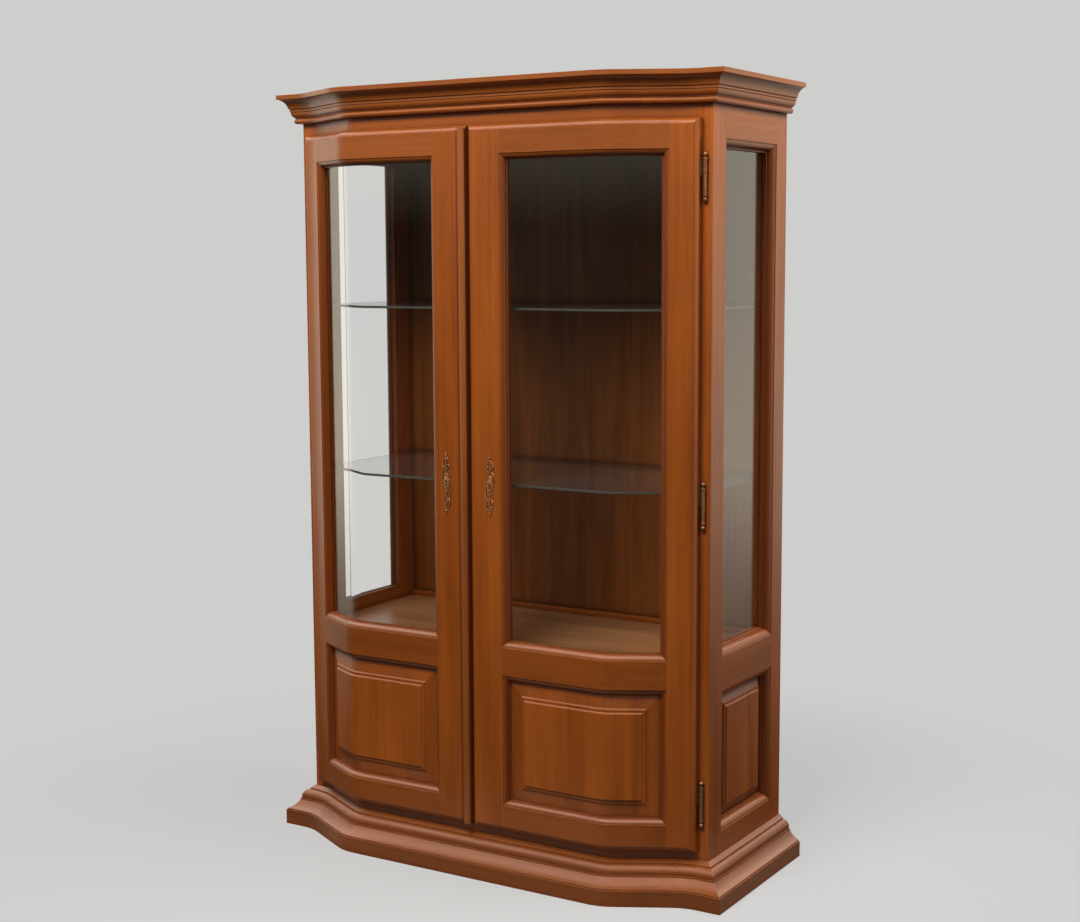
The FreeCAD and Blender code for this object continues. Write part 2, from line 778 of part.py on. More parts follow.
def side_panels():
    """Raised panels of the sides: the field's bevels are mitred where two prisms meet."""
    def sill(height, sign):
        return lambda t, n: (f"carcass_half - ({n})", f"{height} {sign} ({t})")

    def jamb(edge, sign):
        return lambda t, n: (f"carcass_half - ({n})", f"{edge} {sign} ({t})")

    sizes = ("side_sticking + side_field_margin", "side_field_depth", "side_sticking + bevel_margin",
             "side_lip_depth + glass_play", "side_rebate", "side_lip_depth + side_tongue")
    low = fielding(sill("side_panel_bottom", "+"), "", *sizes)
    high = fielding(sill("side_panel_top", "-"), "-", *sizes)
    level = outline("side_panel_level", low + backwards(high), "XZ", "side_rear_edge")
    levels = extrude("side_panel_levels", level, -Y_AXIS, "side_rear_edge - side_front_edge")
    near = fielding(jamb("side_front_edge", "+"), "", *sizes)
    far = fielding(jamb("side_rear_edge", "-"), "-", *sizes)
    past = [(f"carcass_half + {OVER}",) + corner[1:2] for corner in (far[0], near[0])]
    plan = near + backwards(far) + past
    sides = upright("side_panel_plan", plan, "side_panel_bottom", "side_panel_top")
    right = keep("side_panel_right", boolean("Common", "side_panel_cut", levels, sides))
    keep("side_panel_left", mirror("side_panel_left_copy", right))


def side_glazing():
    """Flat glass of the sides and the beads that hold it."""
    near = "side_front_edge + side_rebate + edge_play"
    far = "side_rear_edge - side_rebate - edge_play"
    foot = "side_glass_bottom + side_rebate + edge_play"
    head = "side_glass_top - side_rebate - edge_play"
    outside = "carcass_half - side_lip_depth - glass_play"
    inside = f"{outside} - glass_thickness"
    right = keep("side_glass_right", box("side_pane", (inside, outside), (near, far), (foot, head)))
    keep("side_glass_left", mirror("side_pane_left", right))
    across = ("inner_half + edge_play", f"{inside} - glass_play")
    width = "rebate_width - edge_play"
    beads = [
        box("side_bead_near", across, (near, f"{near} + {width}"), (foot, head)),
        box("side_bead_far", across, (f"{far} - ({width})", far), (foot, head)),
    ]
    between = (f"{near} + {width} + board_play", f"{far} - ({width}) - board_play")
    beads.append(box("side_bead_foot", across, between, (foot, f"{foot} + {width}")))
    beads.append(box("side_bead_head", across, between, (f"{head} - ({width})", head)))
    right = group("side_beads_right", beads)
    keep("side_glass_beads", group("side_beads", [right, mirror("side_beads_left", right)]))


def front_rails():
    """Curved frieze rail above the doors and bottom rail below them, with the slide bolts' keeps."""
    plan = front_band("carcass_inset", "inner_inset", "inner_half", "hollow")
    side = ("-bolt_offset - bolt_side / 2 - bolt_play", "-bolt_offset + bolt_side / 2 + bolt_play")
    depth = ("bolt_y - bolt_play", "bolt_y + bolt_side + bolt_play")
    frieze = upright("frieze", plan, "frieze_bottom", "carcass_height")
    high = box("top_keep", side, depth, (f"frieze_bottom - {OVER}", "frieze_bottom + keep_depth"))
    keep("frieze_rail", boolean("Cut", "frieze_kept", frieze, high))
    foot = upright("foot_rail", plan, "rail_foot", "bottom_rail_top")
    low = box("bottom_keep", side, depth, ("bottom_rail_top - keep_depth", f"bottom_rail_top + {OVER}"))
    keep("bottom_rail", boolean("Cut", "foot_rail_kept", foot, low))


def boards():
    """Top board, base board, deck, back panel and skirting."""
    inside = "inner_half - board_play"
    rear = "back_front - board_play"
    top = front_board("carcass_inset + board_play", "carcass_half - board_play", "back_y")
    board("top_board", top, "carcass_height", "board_thickness")
    base = front_board("inner_inset + board_play", inside, rear)
    board("base_board", base, "base_top - board_thickness", "board_thickness")
    deck = front_board("carcass_inset + deck_setback", inside, rear)
    board("deck_board", deck, "deck_top - board_thickness", "board_thickness")
    half = "inner_half + back_lap - back_play"
    across = (f"-({half})", half)
    panel = box("back_sheet", across, ("back_front", "back_front + back_thickness"),
                ("rail_foot", "carcass_height"))
    keep("back_panel", panel)
    strip = box("back_strip", (f"-({inside})", inside), ("back_front - skirting_thickness", "back_front"),
                ("deck_top", "deck_top + skirting_height"))
    keep("back_skirting", strip)


def shelves():
    """Two glass shelves that rest on the pins."""
    plan = front_board("shelf_inset", "inner_half - shelf_play", "back_front - shelf_play")
    for name in ("lower_shelf", "upper_shelf"):
        board(name, plan, f"{name}_top - shelf_thickness", "shelf_thickness")


# Doors: the right one is drawn, the left one is its mirror image with its own fittings

def door_stiles():
    """Stiles cut from a slab that follows the bowed front.

    The square stile is the left door's meeting stile, which carries the cover strip.
    """
    slab_edge = thumbnail(above("door_top - edge_round"), "-", "door_thickness")
    slab_foot = thumbnail(below("door_bottom + edge_round"), "", "door_thickness")
    section = outline("slab_section", slab_edge + backwards(slab_foot), "YZ", "half_gap")
    path_run = front_run("door_inset", "half_gap", f"door_edge + {OVER}")
    slab = sweep("door_slab", section, outline("slab_path", path_run, closed=False))
    beyond = f"door_thickness + {OVER}"
    ahead = f"-{OVER}"
    inner_edge = sticking(meeting, "", beyond, ahead)
    meeting_plan = backwards(thumbnail(leading, "-", beyond, ahead)) + inner_edge
    square_plan = [("half_gap", f"door_face + {beyond}"), ("half_gap", f"door_face - {OVER}")] + inner_edge
    outer_edge = thumbnail(outer, "", beyond, ahead)[:-1] + [("door_edge", f"outer_face_y + {beyond}")]
    hinge_plan = sticking(hinged, "-", beyond, ahead) + backwards(outer_edge)
    stiles = {}
    plans = {"meeting_stile": meeting_plan, "square_stile": square_plan, "hinge_stile": hinge_plan}
    for name, plan in plans.items():
        prism = upright(name + "_prism", plan, f"door_bottom - {OVER}", f"door_top + {OVER}")
        stiles[name] = boolean("Common", name + "_blank", slab, prism)
    return stiles


def door_rails(stiles):
    """Top, middle and bottom rails, coped over the stiles' rounded edges."""
    depth = "door_thickness"
    sections = {
        "top_rail": thumbnail(above("door_top - edge_round"), "-", depth)
        + backwards(sticking(below("glass_top"), "", depth)),
        "middle_rail": sticking(above("glass_bottom"), "-", depth)
        + backwards(sticking(below("panel_top"), "", depth)),
        "bottom_rail": sticking(above("panel_bottom"), "-", depth)
        + backwards(thumbnail(below("door_bottom + edge_round"), "", depth)),
    }
    run = front_run("door_inset", "meeting_edge", "hinge_edge", "middle", "slope")
    path = outline("rail_path", run, closed=False)
    frame = group("door_uprights", [stiles["meeting_stile"], stiles["hinge_stile"]])
    for name, section in sections.items():
        bar = sweep(name + "_bar", outline(name + "_section", section, "YZ", "meeting_edge"), path)
        rail = keep("right_door_" + name, boolean("Cut", name + "_coped", bar, frame))
        keep("left_door_" + name, mirror(name + "_left_copy", rail))


def door_panel():
    """Curved raised panel: a swept section met by a plan outline, so that its bevels are mitred."""
    sizes = ("sticking + field_margin", "field_depth", "sticking + bevel_margin", "glass_front",
             "rebate", "door_thickness")
    low = fielding(above("panel_bottom"), "-", *sizes)
    high = fielding(below("panel_top"), "", *sizes)
    run = front_run("door_inset", "meeting_edge", "hinge_edge", "middle", "slope")
    section = outline("panel_section", low + backwards(high), "YZ", "meeting_edge")
    swept = sweep("panel_swept", section, outline("panel_path", run, closed=False))
    past = sizes[:5] + (f"door_thickness + {OVER}",)
    inner = fielding(meeting, "", *past)
    outside = fielding(hinged, "-", *past)
    field = "sticking + field_margin + field_width"
    front = front_run(f"door_inset - {OVER}", meeting(field, "0")[0], hinged(field, f"-{OVER}")[0],
                      "middle", "slope")
    plan = backwards(inner) + front + outside
    prism = upright("panel_plan", plan, "panel_bottom", "panel_top")
    right = keep("right_door_panel", boolean("Common", "panel_cut", swept, prism))
    keep("left_door_panel", mirror("panel_left_copy", right))


def door_band(front, back, edge):
    """Plan of a curved strip in a door, between two depths, its ends t past both stile edges."""
    def run(depth):
        ends = meeting(edge, "0")[0], hinged(edge, depth)[0]
        return front_run(f"door_inset + {depth}", *ends, "middle", "slope")
    return run(front) + backwards(run(back))


def door_glazing():
    """Bent glass of the doors, and the beads behind it."""
    edge = "rebate + edge_play"
    foot = f"glass_bottom + {edge}"
    head = f"glass_top - ({edge})"
    pane = upright("door_pane", door_band("glass_front", "glass_back", edge), foot, head)
    keep("right_door_glass", pane)
    keep("left_door_glass", mirror("door_pane_left", pane))
    width = "rebate_width - edge_play"
    uprights = []
    for name, corner in (("meeting_bead", meeting), ("hinge_bead", hinged)):
        ends = ((edge, "bead_front"), ("sticking", "bead_front"), ("sticking", "door_thickness"),
                (edge, "door_thickness"))
        uprights.append(upright(name, [corner(*end) for end in ends], foot, head))
    band = door_band("bead_front", "door_thickness", "sticking + board_play")
    levels = [upright("foot_bead", band, foot, f"{foot} + {width}"),
              upright("head_bead", band, f"{head} - ({width})", head)]
    beads = keep("right_door_glass_beads", group("door_beads", uprights + levels))
    keep("left_door_glass_beads", mirror("door_beads_left", beads))


def lock_and_stiles(stiles):
    """Lock in the right door's meeting stile, strike plate and mortise in the left one."""
    height = ("lock_middle - lock_height / 2", "lock_middle + lock_height / 2")
    depth = ("door_face + lock_front", f"door_face + door_thickness + {OVER}")
    pocket = box("lock_pocket", ("0", "half_gap + lock_width"), depth, height)
    hole = cylinder("keyhole_bore", "keyhole_radius + key_clear", f"lock_front + {OVER}",
                    ("plate_x", f"door_face - {OVER} / 2", "lock_middle"), Y_AXIS)
    tools = group("lock_tools", [pocket, hole])
    keep("right_door_meeting_stile", boolean("Cut", "lock_stile", stiles["meeting_stile"], tools))
    keep("right_door_hinge_stile", stiles["hinge_stile"])
    keep("left_door_hinge_stile", mirror("hinge_stile_left", stiles["hinge_stile"]))

    case = box("lock_block", ("half_gap", "half_gap + lock_width - lock_play"),
               ("door_face + lock_front + lock_play", "door_face + door_thickness"),
               tuple(f"{end} {sign} lock_play" for end, sign in zip(height, "+-")))
    half = "lock_bolt_height / 2"
    thick = "lock_bolt_thickness / 2"
    channel = box("bolt_channel", ("0", "half_gap + lock_bolt_length + 2 * lock_play"),
                  (f"lock_bolt_y - {thick} - lock_play", f"lock_bolt_y + {thick} + lock_play"),
                  (f"lock_middle - {half} - lock_play", f"lock_middle + {half} + lock_play"))
    well = cylinder("key_well", "keyhole_radius + key_clear", "lock_bolt_thickness",
                    ("plate_x", "door_face + lock_front", "lock_middle"), Y_AXIS)
    keep("lock_case", boolean("Cut", "lock_case_cut", case, group("lock_case_tools", [channel, well])))
    bolt = box("lock_bolt_bar", ("half_gap + lock_play", "half_gap + lock_play + lock_bolt_length"),
               (f"lock_bolt_y - {thick}", f"lock_bolt_y + {thick}"),
               (f"lock_middle - {half}", f"lock_middle + {half}"))
    keep("lock_bolt", bolt)

    plate = box("strike_blank", ("-half_gap - strike_thickness", "-half_gap"),
                ("lock_bolt_y - strike_width / 2", "lock_bolt_y + strike_width / 2"),
                ("lock_middle - strike_height / 2", "lock_middle + strike_height / 2"))
    mouth = ((f"lock_bolt_y - {thick} - 2 * lock_play", f"lock_bolt_y + {thick} + 2 * lock_play"),
             (f"lock_middle - {half} - 2 * lock_play", f"lock_middle + {half} + 2 * lock_play"))
    mortise = box("mortise", ("-half_gap - strike_thickness - mortise_depth", "0"), *mouth)
    keep("left_door_strike_plate", boolean("Cut", "strike_slotted", plate, mortise))
    blank = mirror("square_stile_left", stiles["square_stile"])
    recess = group("strike_recess", [plate, mortise])
    keep("left_door_meeting_stile", boolean("Cut", "strike_stile", blank, recess))


def astragal():
    """Half-round cover strip on the left door's meeting edge."""
    near = "-half_gap"
    far = f"{near} - astragal_width"
    edge = "door_face - astragal_edge"
    rise = "(astragal_rise - astragal_edge)"
    bend = f"((astragal_width / 2)^2 + {rise}^2) / (2 * {rise})"
    plan = [(near, "door_face"), (far, "door_face"), (far, edge, bend), (near, edge)]
    strip = upright("astragal", plan, "door_bottom + astragal_end", "door_top - astragal_end")
    keep("left_door_astragal", strip)


# Upper right edge of a keyhole plate about its middle, from its top down, as sketch corners
PLATE_EDGE = [
    ("3", "75", "-6"),
    ("7", "66", "-8"),
    ("3", "57", "10"),
    ("3.5", "49", "-7"),
    ("8", "41", "-6"),
    ("4", "34", "8"),
    ("7", "26", "-7"),
    ("12", "16", "14"),
    ("11", "8", "-14"),
]


def keyhole_plates():
    """Slim cast plates around the keyholes, one on each door."""
    right_edge = PLATE_EDGE + flipped(PLATE_EDGE, 1)
    corners = [(f"plate_x + {corner[0]}", f"lock_middle + {corner[1]}") + corner[2:]
               for corner in right_edge + flipped(right_edge, 0)]
    blank = extrude("plate_blank", outline("plate", corners, "XZ", "door_face"), -Y_AXIS, "plate_thickness")
    depth = (f"door_face - plate_thickness - {OVER}", f"door_face + {OVER}")
    bore = cylinder("plate_bore", "keyhole_radius", f"plate_thickness + 2 * {OVER}",
                    ("plate_x", depth[0], "lock_middle"), Y_AXIS)
    slot = box("plate_slot", ("plate_x - keyhole_slot / 2", "plate_x + keyhole_slot / 2"), depth,
               ("lock_middle - keyhole_drop", "lock_middle"))
    holed = boolean("Cut", "plate_holed", blank, boolean("Fuse", "keyhole", bore, slot))
    keep("right_door_escutcheon", holed)
    keep("left_door_escutcheon", mirror("plate_left", holed))


def slide_bolts():
    """Top and bottom slide bolts of the left door, with their guides on the door's back."""
    back = "door_face + door_thickness"
    guides = []
    for name, sign, start in (("top", "-", "frieze_bottom - bolt_clear"),
                              ("bottom", "+", "bottom_rail_top + bolt_clear")):
        def span(low, high, sign=sign, start=start):
            ends = (f"{start} {sign} ({low})", f"{start} {sign} ({high})")
            return ends if sign == "+" else ends[::-1]

        middle = "bolt_length / 2"
        half = "bolt_side / 2"
        across = (f"-bolt_offset - {half}", f"-bolt_offset + {half}")
        rod = box(name + "_rod", across, ("bolt_y", "bolt_y + bolt_side"), span("0", "bolt_length"))
        knob = cylinder(name + "_knob", "knob_radius", f"{half} + knob_length",
                        ("-bolt_offset", f"bolt_y + {half}", f"{start} {sign} {middle}"), Y_AXIS)
        keep(name + "_bolt", boolean("Fuse", name + "_bolt_fused", rod, knob))
        plate = box(name + "_plate", ("-bolt_offset - guide_width / 2", "-bolt_offset + guide_width / 2"),
                    (back, f"{back} + guide_thickness"),
                    span(f"{middle} - guide_length / 2", f"{middle} + guide_length / 2"))
        wide = tuple(f"{end} {way} (bolt_play + staple_wall)" for end, way in zip(across, "-+"))
        clear = tuple(f"{end} {way} bolt_play" for end, way in zip(across, "-+"))
        guide = plate
        for end, first in (("near", f"{middle} - guide_length / 2"),
                           ("far", f"{middle} + guide_length / 2 - staple_length")):
            reach = span(first, f"{first} + staple_length")
            crown = "bolt_y + bolt_side + bolt_play"
            bridge = box(f"{name}_{end}_bridge", wide,
                         (f"{back} + guide_thickness / 2", f"{crown} + staple_wall"), reach)
            way = box(f"{name}_{end}_way", clear, (f"{back} + guide_thickness", crown), reach)
            staple = boolean("Cut", f"{name}_{end}_staple", bridge, way)
            guide = boolean("Fuse", f"{name}_{end}_guide", guide, staple)
        guides.append(guide)
    keep("left_door_bolt_guides", group("bolt_guides", guides))


def turned(name, corners):
    """Solid of revolution about its own upright axis, from a half section."""
    piece = DOC.addObject("Part::Revolution", name)
    piece.Source = outline(name, corners, "XZ")
    piece.Axis = Z_AXIS
    piece.Angle = 360
    piece.Solid = True
    return piece


def hinge_sections():
    """Half sections about the hinge axis: the pin with its knuckle, and the sleeve above it."""
    foot = "-knuckle_length - finial_length"
    tip = "knuckle_length + finial_length"
    bore = "hinge_pin_radius + hinge_pin_play"
    well = "hinge_pin_length + knuckle_gap"
    pin = [
        ("0", foot),
        ("finial_tip", foot, "finial_bend"),
        ("hinge_pin_radius", "-knuckle_length - finial_neck"),
        ("hinge_pin_radius", "-knuckle_length"),
        ("barrel_radius", "-knuckle_length"),
        ("barrel_radius", "collar_length - knuckle_length"),
        ("barrel_waist", "collar_length - knuckle_length"),
        ("barrel_waist", "0"),
        ("hinge_pin_radius", "0"),
        ("hinge_pin_radius", "hinge_pin_length"),
        ("0", "hinge_pin_length"),
    ]
    sleeve = [
        (bore, "knuckle_gap"),
        ("barrel_waist", "knuckle_gap"),
        ("barrel_waist", "knuckle_length - collar_length"),
        ("barrel_radius", "knuckle_length - collar_length"),
        ("barrel_radius", "knuckle_length"),
        ("hinge_pin_radius", "knuckle_length"),
        ("hinge_pin_radius", "knuckle_length + finial_neck", "finial_bend"),
        ("finial_tip", tip),
        ("0", tip),
        ("0", well),
        (bore, well),
    ]
    return pin, sleeve


def hinges():
    """Barrel hinges: fixed halves with the pin on the posts, moving halves on the doors' edges."""
    pin, sleeve = hinge_sections()
    fixed, moving = [], []
    for name in ("bottom_hinge", "middle_hinge", "top_hinge"):
        at = ("axis_x", "axis_y", name)
        lower = (f"{name} - knuckle_length", name)
        upper = (f"{name} + knuckle_gap", f"{name} + knuckle_length")
        slip = box(name + "_slip", ("axis_x - leaf_thickness", "axis_x + leaf_thickness"),
                   ("axis_y", "post_face_y + leaf_thickness"), lower)
        post_leaf = boolean("Cut", name + "_post_leaf", slip, PARTS["post_right"])
        spindle = place(turned(name + "_pin", pin), *at)
        fixed.append(boolean("Fuse", name + "_fixed", spindle, post_leaf))
        blank = box(name + "_door_slip", ("door_edge - leaf_thickness", "door_edge + leaf_thickness"),
                    ("outer_round_y + leaf_margin", "axis_y + leaf_thickness"), upper)
        leaf = boolean("Cut", name + "_door_leaf", blank, PARTS["right_door_hinge_stile"])
        web = box(name + "_web",
                  ("door_edge + leaf_thickness / 2", "axis_x - (barrel_waist + hinge_pin_radius) / 2"),
                  ("axis_y - leaf_thickness", "axis_y + leaf_thickness"), upper)
        arm = boolean("Fuse", name + "_arm", leaf, web)
        cap = place(turned(name + "_sleeve", sleeve), *at)
        moving.append(boolean("Fuse", name + "_moving", cap, arm))
    right_fixed = keep("hinge_frame_halves_right", group("fixed_halves", fixed))
    keep("hinge_frame_halves_left", mirror("fixed_halves_left", right_fixed))
    right_moving = keep("right_door_hinge_halves", group("moving_halves", moving))
    keep("left_door_hinge_halves", mirror("moving_halves_left", right_moving))


def write_parts():
    """Checks every object and piece, then writes each piece to its own file."""
    DOC.recompute()
    failed = [item.Name for item in DOC.Objects if {"Invalid", "Error"} & set(item.State)]
    failed += [label for label, piece in PARTS.items() if piece.Shape.isNull() or not piece.Shape.isValid()]
    if failed:
        raise RuntimeError("failed: " + ", ".join(failed))
    os.makedirs("parts", exist_ok=True)
    for label, piece in PARTS.items():
        piece.Shape.exportStep(f"parts/{label}.step")
        print(label, len(piece.Shape.Solids), round(piece.Shape.Volume / 1000, 2))


def main():
    """Builds the cabinet from the floor up and writes its pieces."""
    fill_sheet()
    plinth()
    cornice()
    posts_and_stiles()
    shelf_pins()
    side_rails()
    side_panels()
    side_glazing()
    front_rails()
    boards()
    shelves()
    stiles = door_stiles()
    door_rails(stiles)
    door_panel()
    door_glazing()
    lock_and_stiles(stiles)
    astragal()
    keyhole_plates()
    slide_bolts()
    hinges()
    write_parts()


main()
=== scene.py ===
"""Looks of a bow-fronted display cabinet: stained wood, bent glass, cast plates and bronze hinges.

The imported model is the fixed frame. Each class dresses one sub-assembly, adds the pieces that the
frame leaves plain, and lets them ride on the body that carries them. Lengths are in metres.
"""
import logging
import math
from dataclasses import dataclass, field, replace
from enum import Enum
from typing import ClassVar, Iterable, Optional, Sequence, Union

import bmesh
import bpy
from mathutils import Matrix, Vector


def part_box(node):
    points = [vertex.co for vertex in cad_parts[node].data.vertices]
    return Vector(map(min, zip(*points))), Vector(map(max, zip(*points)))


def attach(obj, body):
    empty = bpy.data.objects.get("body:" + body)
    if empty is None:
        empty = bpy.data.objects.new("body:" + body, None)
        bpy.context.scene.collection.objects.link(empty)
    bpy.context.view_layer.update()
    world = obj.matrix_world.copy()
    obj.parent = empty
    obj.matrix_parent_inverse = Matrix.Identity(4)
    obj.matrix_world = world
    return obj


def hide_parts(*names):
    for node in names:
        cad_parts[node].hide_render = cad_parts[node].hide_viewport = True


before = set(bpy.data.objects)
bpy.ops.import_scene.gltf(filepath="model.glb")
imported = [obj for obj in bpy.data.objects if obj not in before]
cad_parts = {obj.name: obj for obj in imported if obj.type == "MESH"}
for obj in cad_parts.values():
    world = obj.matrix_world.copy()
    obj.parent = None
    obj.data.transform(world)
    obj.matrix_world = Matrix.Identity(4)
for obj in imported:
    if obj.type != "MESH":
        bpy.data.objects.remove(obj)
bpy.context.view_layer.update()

LOG = logging.getLogger("display_cabinet")
MILLIMETRE = 0.001
PALE_GREY = (0.619, 0.619, 0.609)
WARM_WHITE = (1.0, 0.92, 0.75)
CEILING_WHITE = (1.0, 0.97, 0.9)

Triple = tuple[float, float, float]
Colour = Triple
Flat = tuple[float, float]
Loop = list[Triple]
Socket = bpy.types.NodeSocket
Value = Union[float, Sequence[float], Socket]


class Grain(Enum):
    """Which way the grain of a piece of wood runs, as the order that puts that axis last."""

    UPRIGHT = ("X", "Y", "Z")
    ACROSS = ("Y", "Z", "X")
    DEEP = ("X", "Z", "Y")


class Side(Enum):
    """A door, with the sign of its X."""

    LEFT = ("left_door", -1.0)
    RIGHT = ("right_door", 1.0)

    @property
    def body(self) -> str:
        """Name of the door's body, which also begins the names of its nodes."""
        return self.value[0]

    @property
    def sign(self) -> float:
        """Sign of the door's X."""
        return self.value[1]

    def nodes(self, *names: str) -> list[str]:
        """Full names of some of the door's nodes."""
        return [f"{self.body}_{name}" for name in names]


class Graph:
    """A node tree with short ways to add and join nodes."""

    def __init__(self, tree: bpy.types.NodeTree) -> None:
        """Wraps a tree.

        Args:
            tree: the node tree that new nodes go into.
        """
        self.tree = tree

    def node(self, kind: str, settings: Optional[dict] = None, **inputs: Value) -> bpy.types.Node:
        """Adds a node.

        Args:
            kind: the node's type without its ShaderNode prefix.
            settings: attributes of the node itself.
            inputs: values or sockets by input name, with underscores for spaces.

        Returns:
            The new node.
        """
        made = self.tree.nodes.new("ShaderNode" + kind)
        for name, value in (settings or {}).items():
            setattr(made, name, value)
        for name, value in inputs.items():
            self.feed(made.inputs[name.replace("_", " ")], value)
        return made

    def feed(self, socket: Socket, value: Value) -> None:
        """Links a socket to an input, or sets the input's own value.

        Args:
            socket: the input.
            value: what it takes.
        """
        if isinstance(value, bpy.types.NodeSocket):
            self.tree.links.new(value, socket)
        else:
            socket.default_value = value

    def maths(self, operation: str, first: Value, second: Value = 0.0, clamp: bool = False) -> Socket:
        """One step of arithmetic.

        Args:
            operation: Blender's name of the operation.
            first: the first operand.
            second: the second operand, where the operation has one.
            clamp: keeps the result between 0 and 1.

        Returns:
            The result's socket.
        """
        made = self.node("Math", {"operation": operation, "use_clamp": clamp})
        self.feed(made.inputs[0], first)
        self.feed(made.inputs[1], second)
        return made.outputs[0]

    def vector(self, operation: str, *operands: Value) -> bpy.types.NodeOutputs:
        """One step of vector arithmetic.

        Args:
            operation: Blender's name of the operation.
            operands: the vectors.

        Returns:
            The outputs, Vector or Value as the operation gives.
        """
        made = self.node("VectorMath", {"operation": operation})
        for socket, value in zip(made.inputs, operands):
            self.feed(socket, value)
        return made.outputs

    def here(self) -> Socket:
        """The object's own coordinates."""
        return self.node("TexCoord").outputs["Object"]

    def axes(self, place: Socket) -> bpy.types.NodeOutputs:
        """X, Y and Z of a place."""
        return self.node("SeparateXYZ", Vector=place).outputs

    def spread(self, value: Value, low: float, high: float, to_low: float = 0.0,
               to_high: float = 1.0) -> Socket:
        """Maps a range of values to another range, clamped.

        Args:
            value: what is mapped.
            low: the value that gives to_low.
            high: the value that gives to_high.
            to_low: the result at low.
            to_high: the result at high.

        Returns:
            The result's socket.
        """
        made = self.node("MapRange", {"interpolation_type": "SMOOTHSTEP"}, Value=value)
        for name, limit in (("From Min", low), ("From Max", high), ("To Min", to_low), ("To Max", to_high)):
            made.inputs[name].default_value = limit
        return made.outputs["Result"]

    def blend(self, share: Value, first: Value, second: Value) -> Socket:
        """Mixes two colours.

        Args:
            share: how much of the second colour is used.
            first: the first colour, as three numbers or a socket.
            second: the second colour, as three numbers or a socket.

        Returns:
            The mixed colour's socket.
        """
        made = self.node("Mix", {"data_type": "RGBA"})
        colour_inputs = [socket for socket in made.inputs if socket.type == "RGBA"]
        self.feed(made.inputs[0], share)
        for socket, value in zip(colour_inputs, (first, second)):
            self.feed(socket, value if isinstance(value, bpy.types.NodeSocket) else (*value, 1.0))
        return next(socket for socket in made.outputs if socket.type == "RGBA")

    def glaze(self, colour: Socket, mask: Socket, share: float, over: Colour) -> Socket:
        """Lays a share of another colour over a colour where a mask is bright."""
        return self.blend(self.maths("MULTIPLY", mask, share), colour, over)

    def noise(self, place: Socket, scale: Value, detail: float, rough: float = 0.55) -> Socket:
        """Fractal noise at a place.

        Args:
            place: the coordinates.
            scale: cells per unit of those coordinates.
            detail: octaves.
            rough: how strong the fine octaves are.

        Returns:
            The noise value's socket, about 0 to 1.
        """
        made = self.node("TexNoise", Vector=place, Scale=scale, Detail=detail, Roughness=rough)
        return made.outputs["Fac"]

    def grained(self, place: Socket, across: float, along: float, detail: float) -> Socket:
        """Noise stretched along the third coordinate.

        Args:
            place: grain coordinates.
            across: cells per metre across the grain.
            along: cells per metre along it.
            detail: octaves.

        Returns:
            The noise value's socket.
        """
        scaled = self.vector("MULTIPLY", place, (across, across, along))["Vector"]
        return self.noise(scaled, 1.0, detail)

    def choose(self, share: Value, first: Socket, second: Socket) -> Socket:
        """Mixes two shaders.

        Args:
            share: how much of the second shader is used.
            first: the first shader.
            second: the second shader.

        Returns:
            The mixed shader's socket.
        """
        made = self.node("MixShader")
        for socket, value in zip(made.inputs, (share, first, second)):
            self.feed(socket, value)
        return made.outputs[0]


class EffectGroup:
    """A shader node group that several materials share, built once."""

    name = "effect"
    inputs: tuple[tuple[str, str], ...] = ()
    outputs: tuple[tuple[str, str], ...] = ()

    def tree(self) -> bpy.types.NodeTree:
        """Gives the group's tree, made on first use.

        Returns:
            The tree.
        """
        made = bpy.data.node_groups.get(self.name)
        if made is None:
            made = bpy.data.node_groups.new(self.name, "ShaderNodeTree")
            for way, sockets in (("INPUT", self.inputs), ("OUTPUT", self.outputs)):
                for name, kind in sockets:
                    made.interface.new_socket(name, in_out=way, socket_type="NodeSocket" + kind)
            source = made.nodes.new("NodeGroupInput")
            target = made.nodes.new("NodeGroupOutput")
            self.fill(Graph(made), source.outputs, target.inputs)
        return made

    def fill(self, graph: Graph, given: bpy.types.NodeOutputs, result: bpy.types.NodeInputs) -> None:
        """Builds the effect between the group's inputs and outputs."""
        raise NotImplementedError

    def use(self, graph: Graph, **inputs: Value) -> bpy.types.NodeOutputs:
        """Places the group in a material.

        Args:
            graph: the material's graph.
            inputs: values or sockets by input name.

        Returns:
            The placed group's outputs.
        """
        return graph.node("Group", {"node_tree": self.tree()}, **inputs).outputs


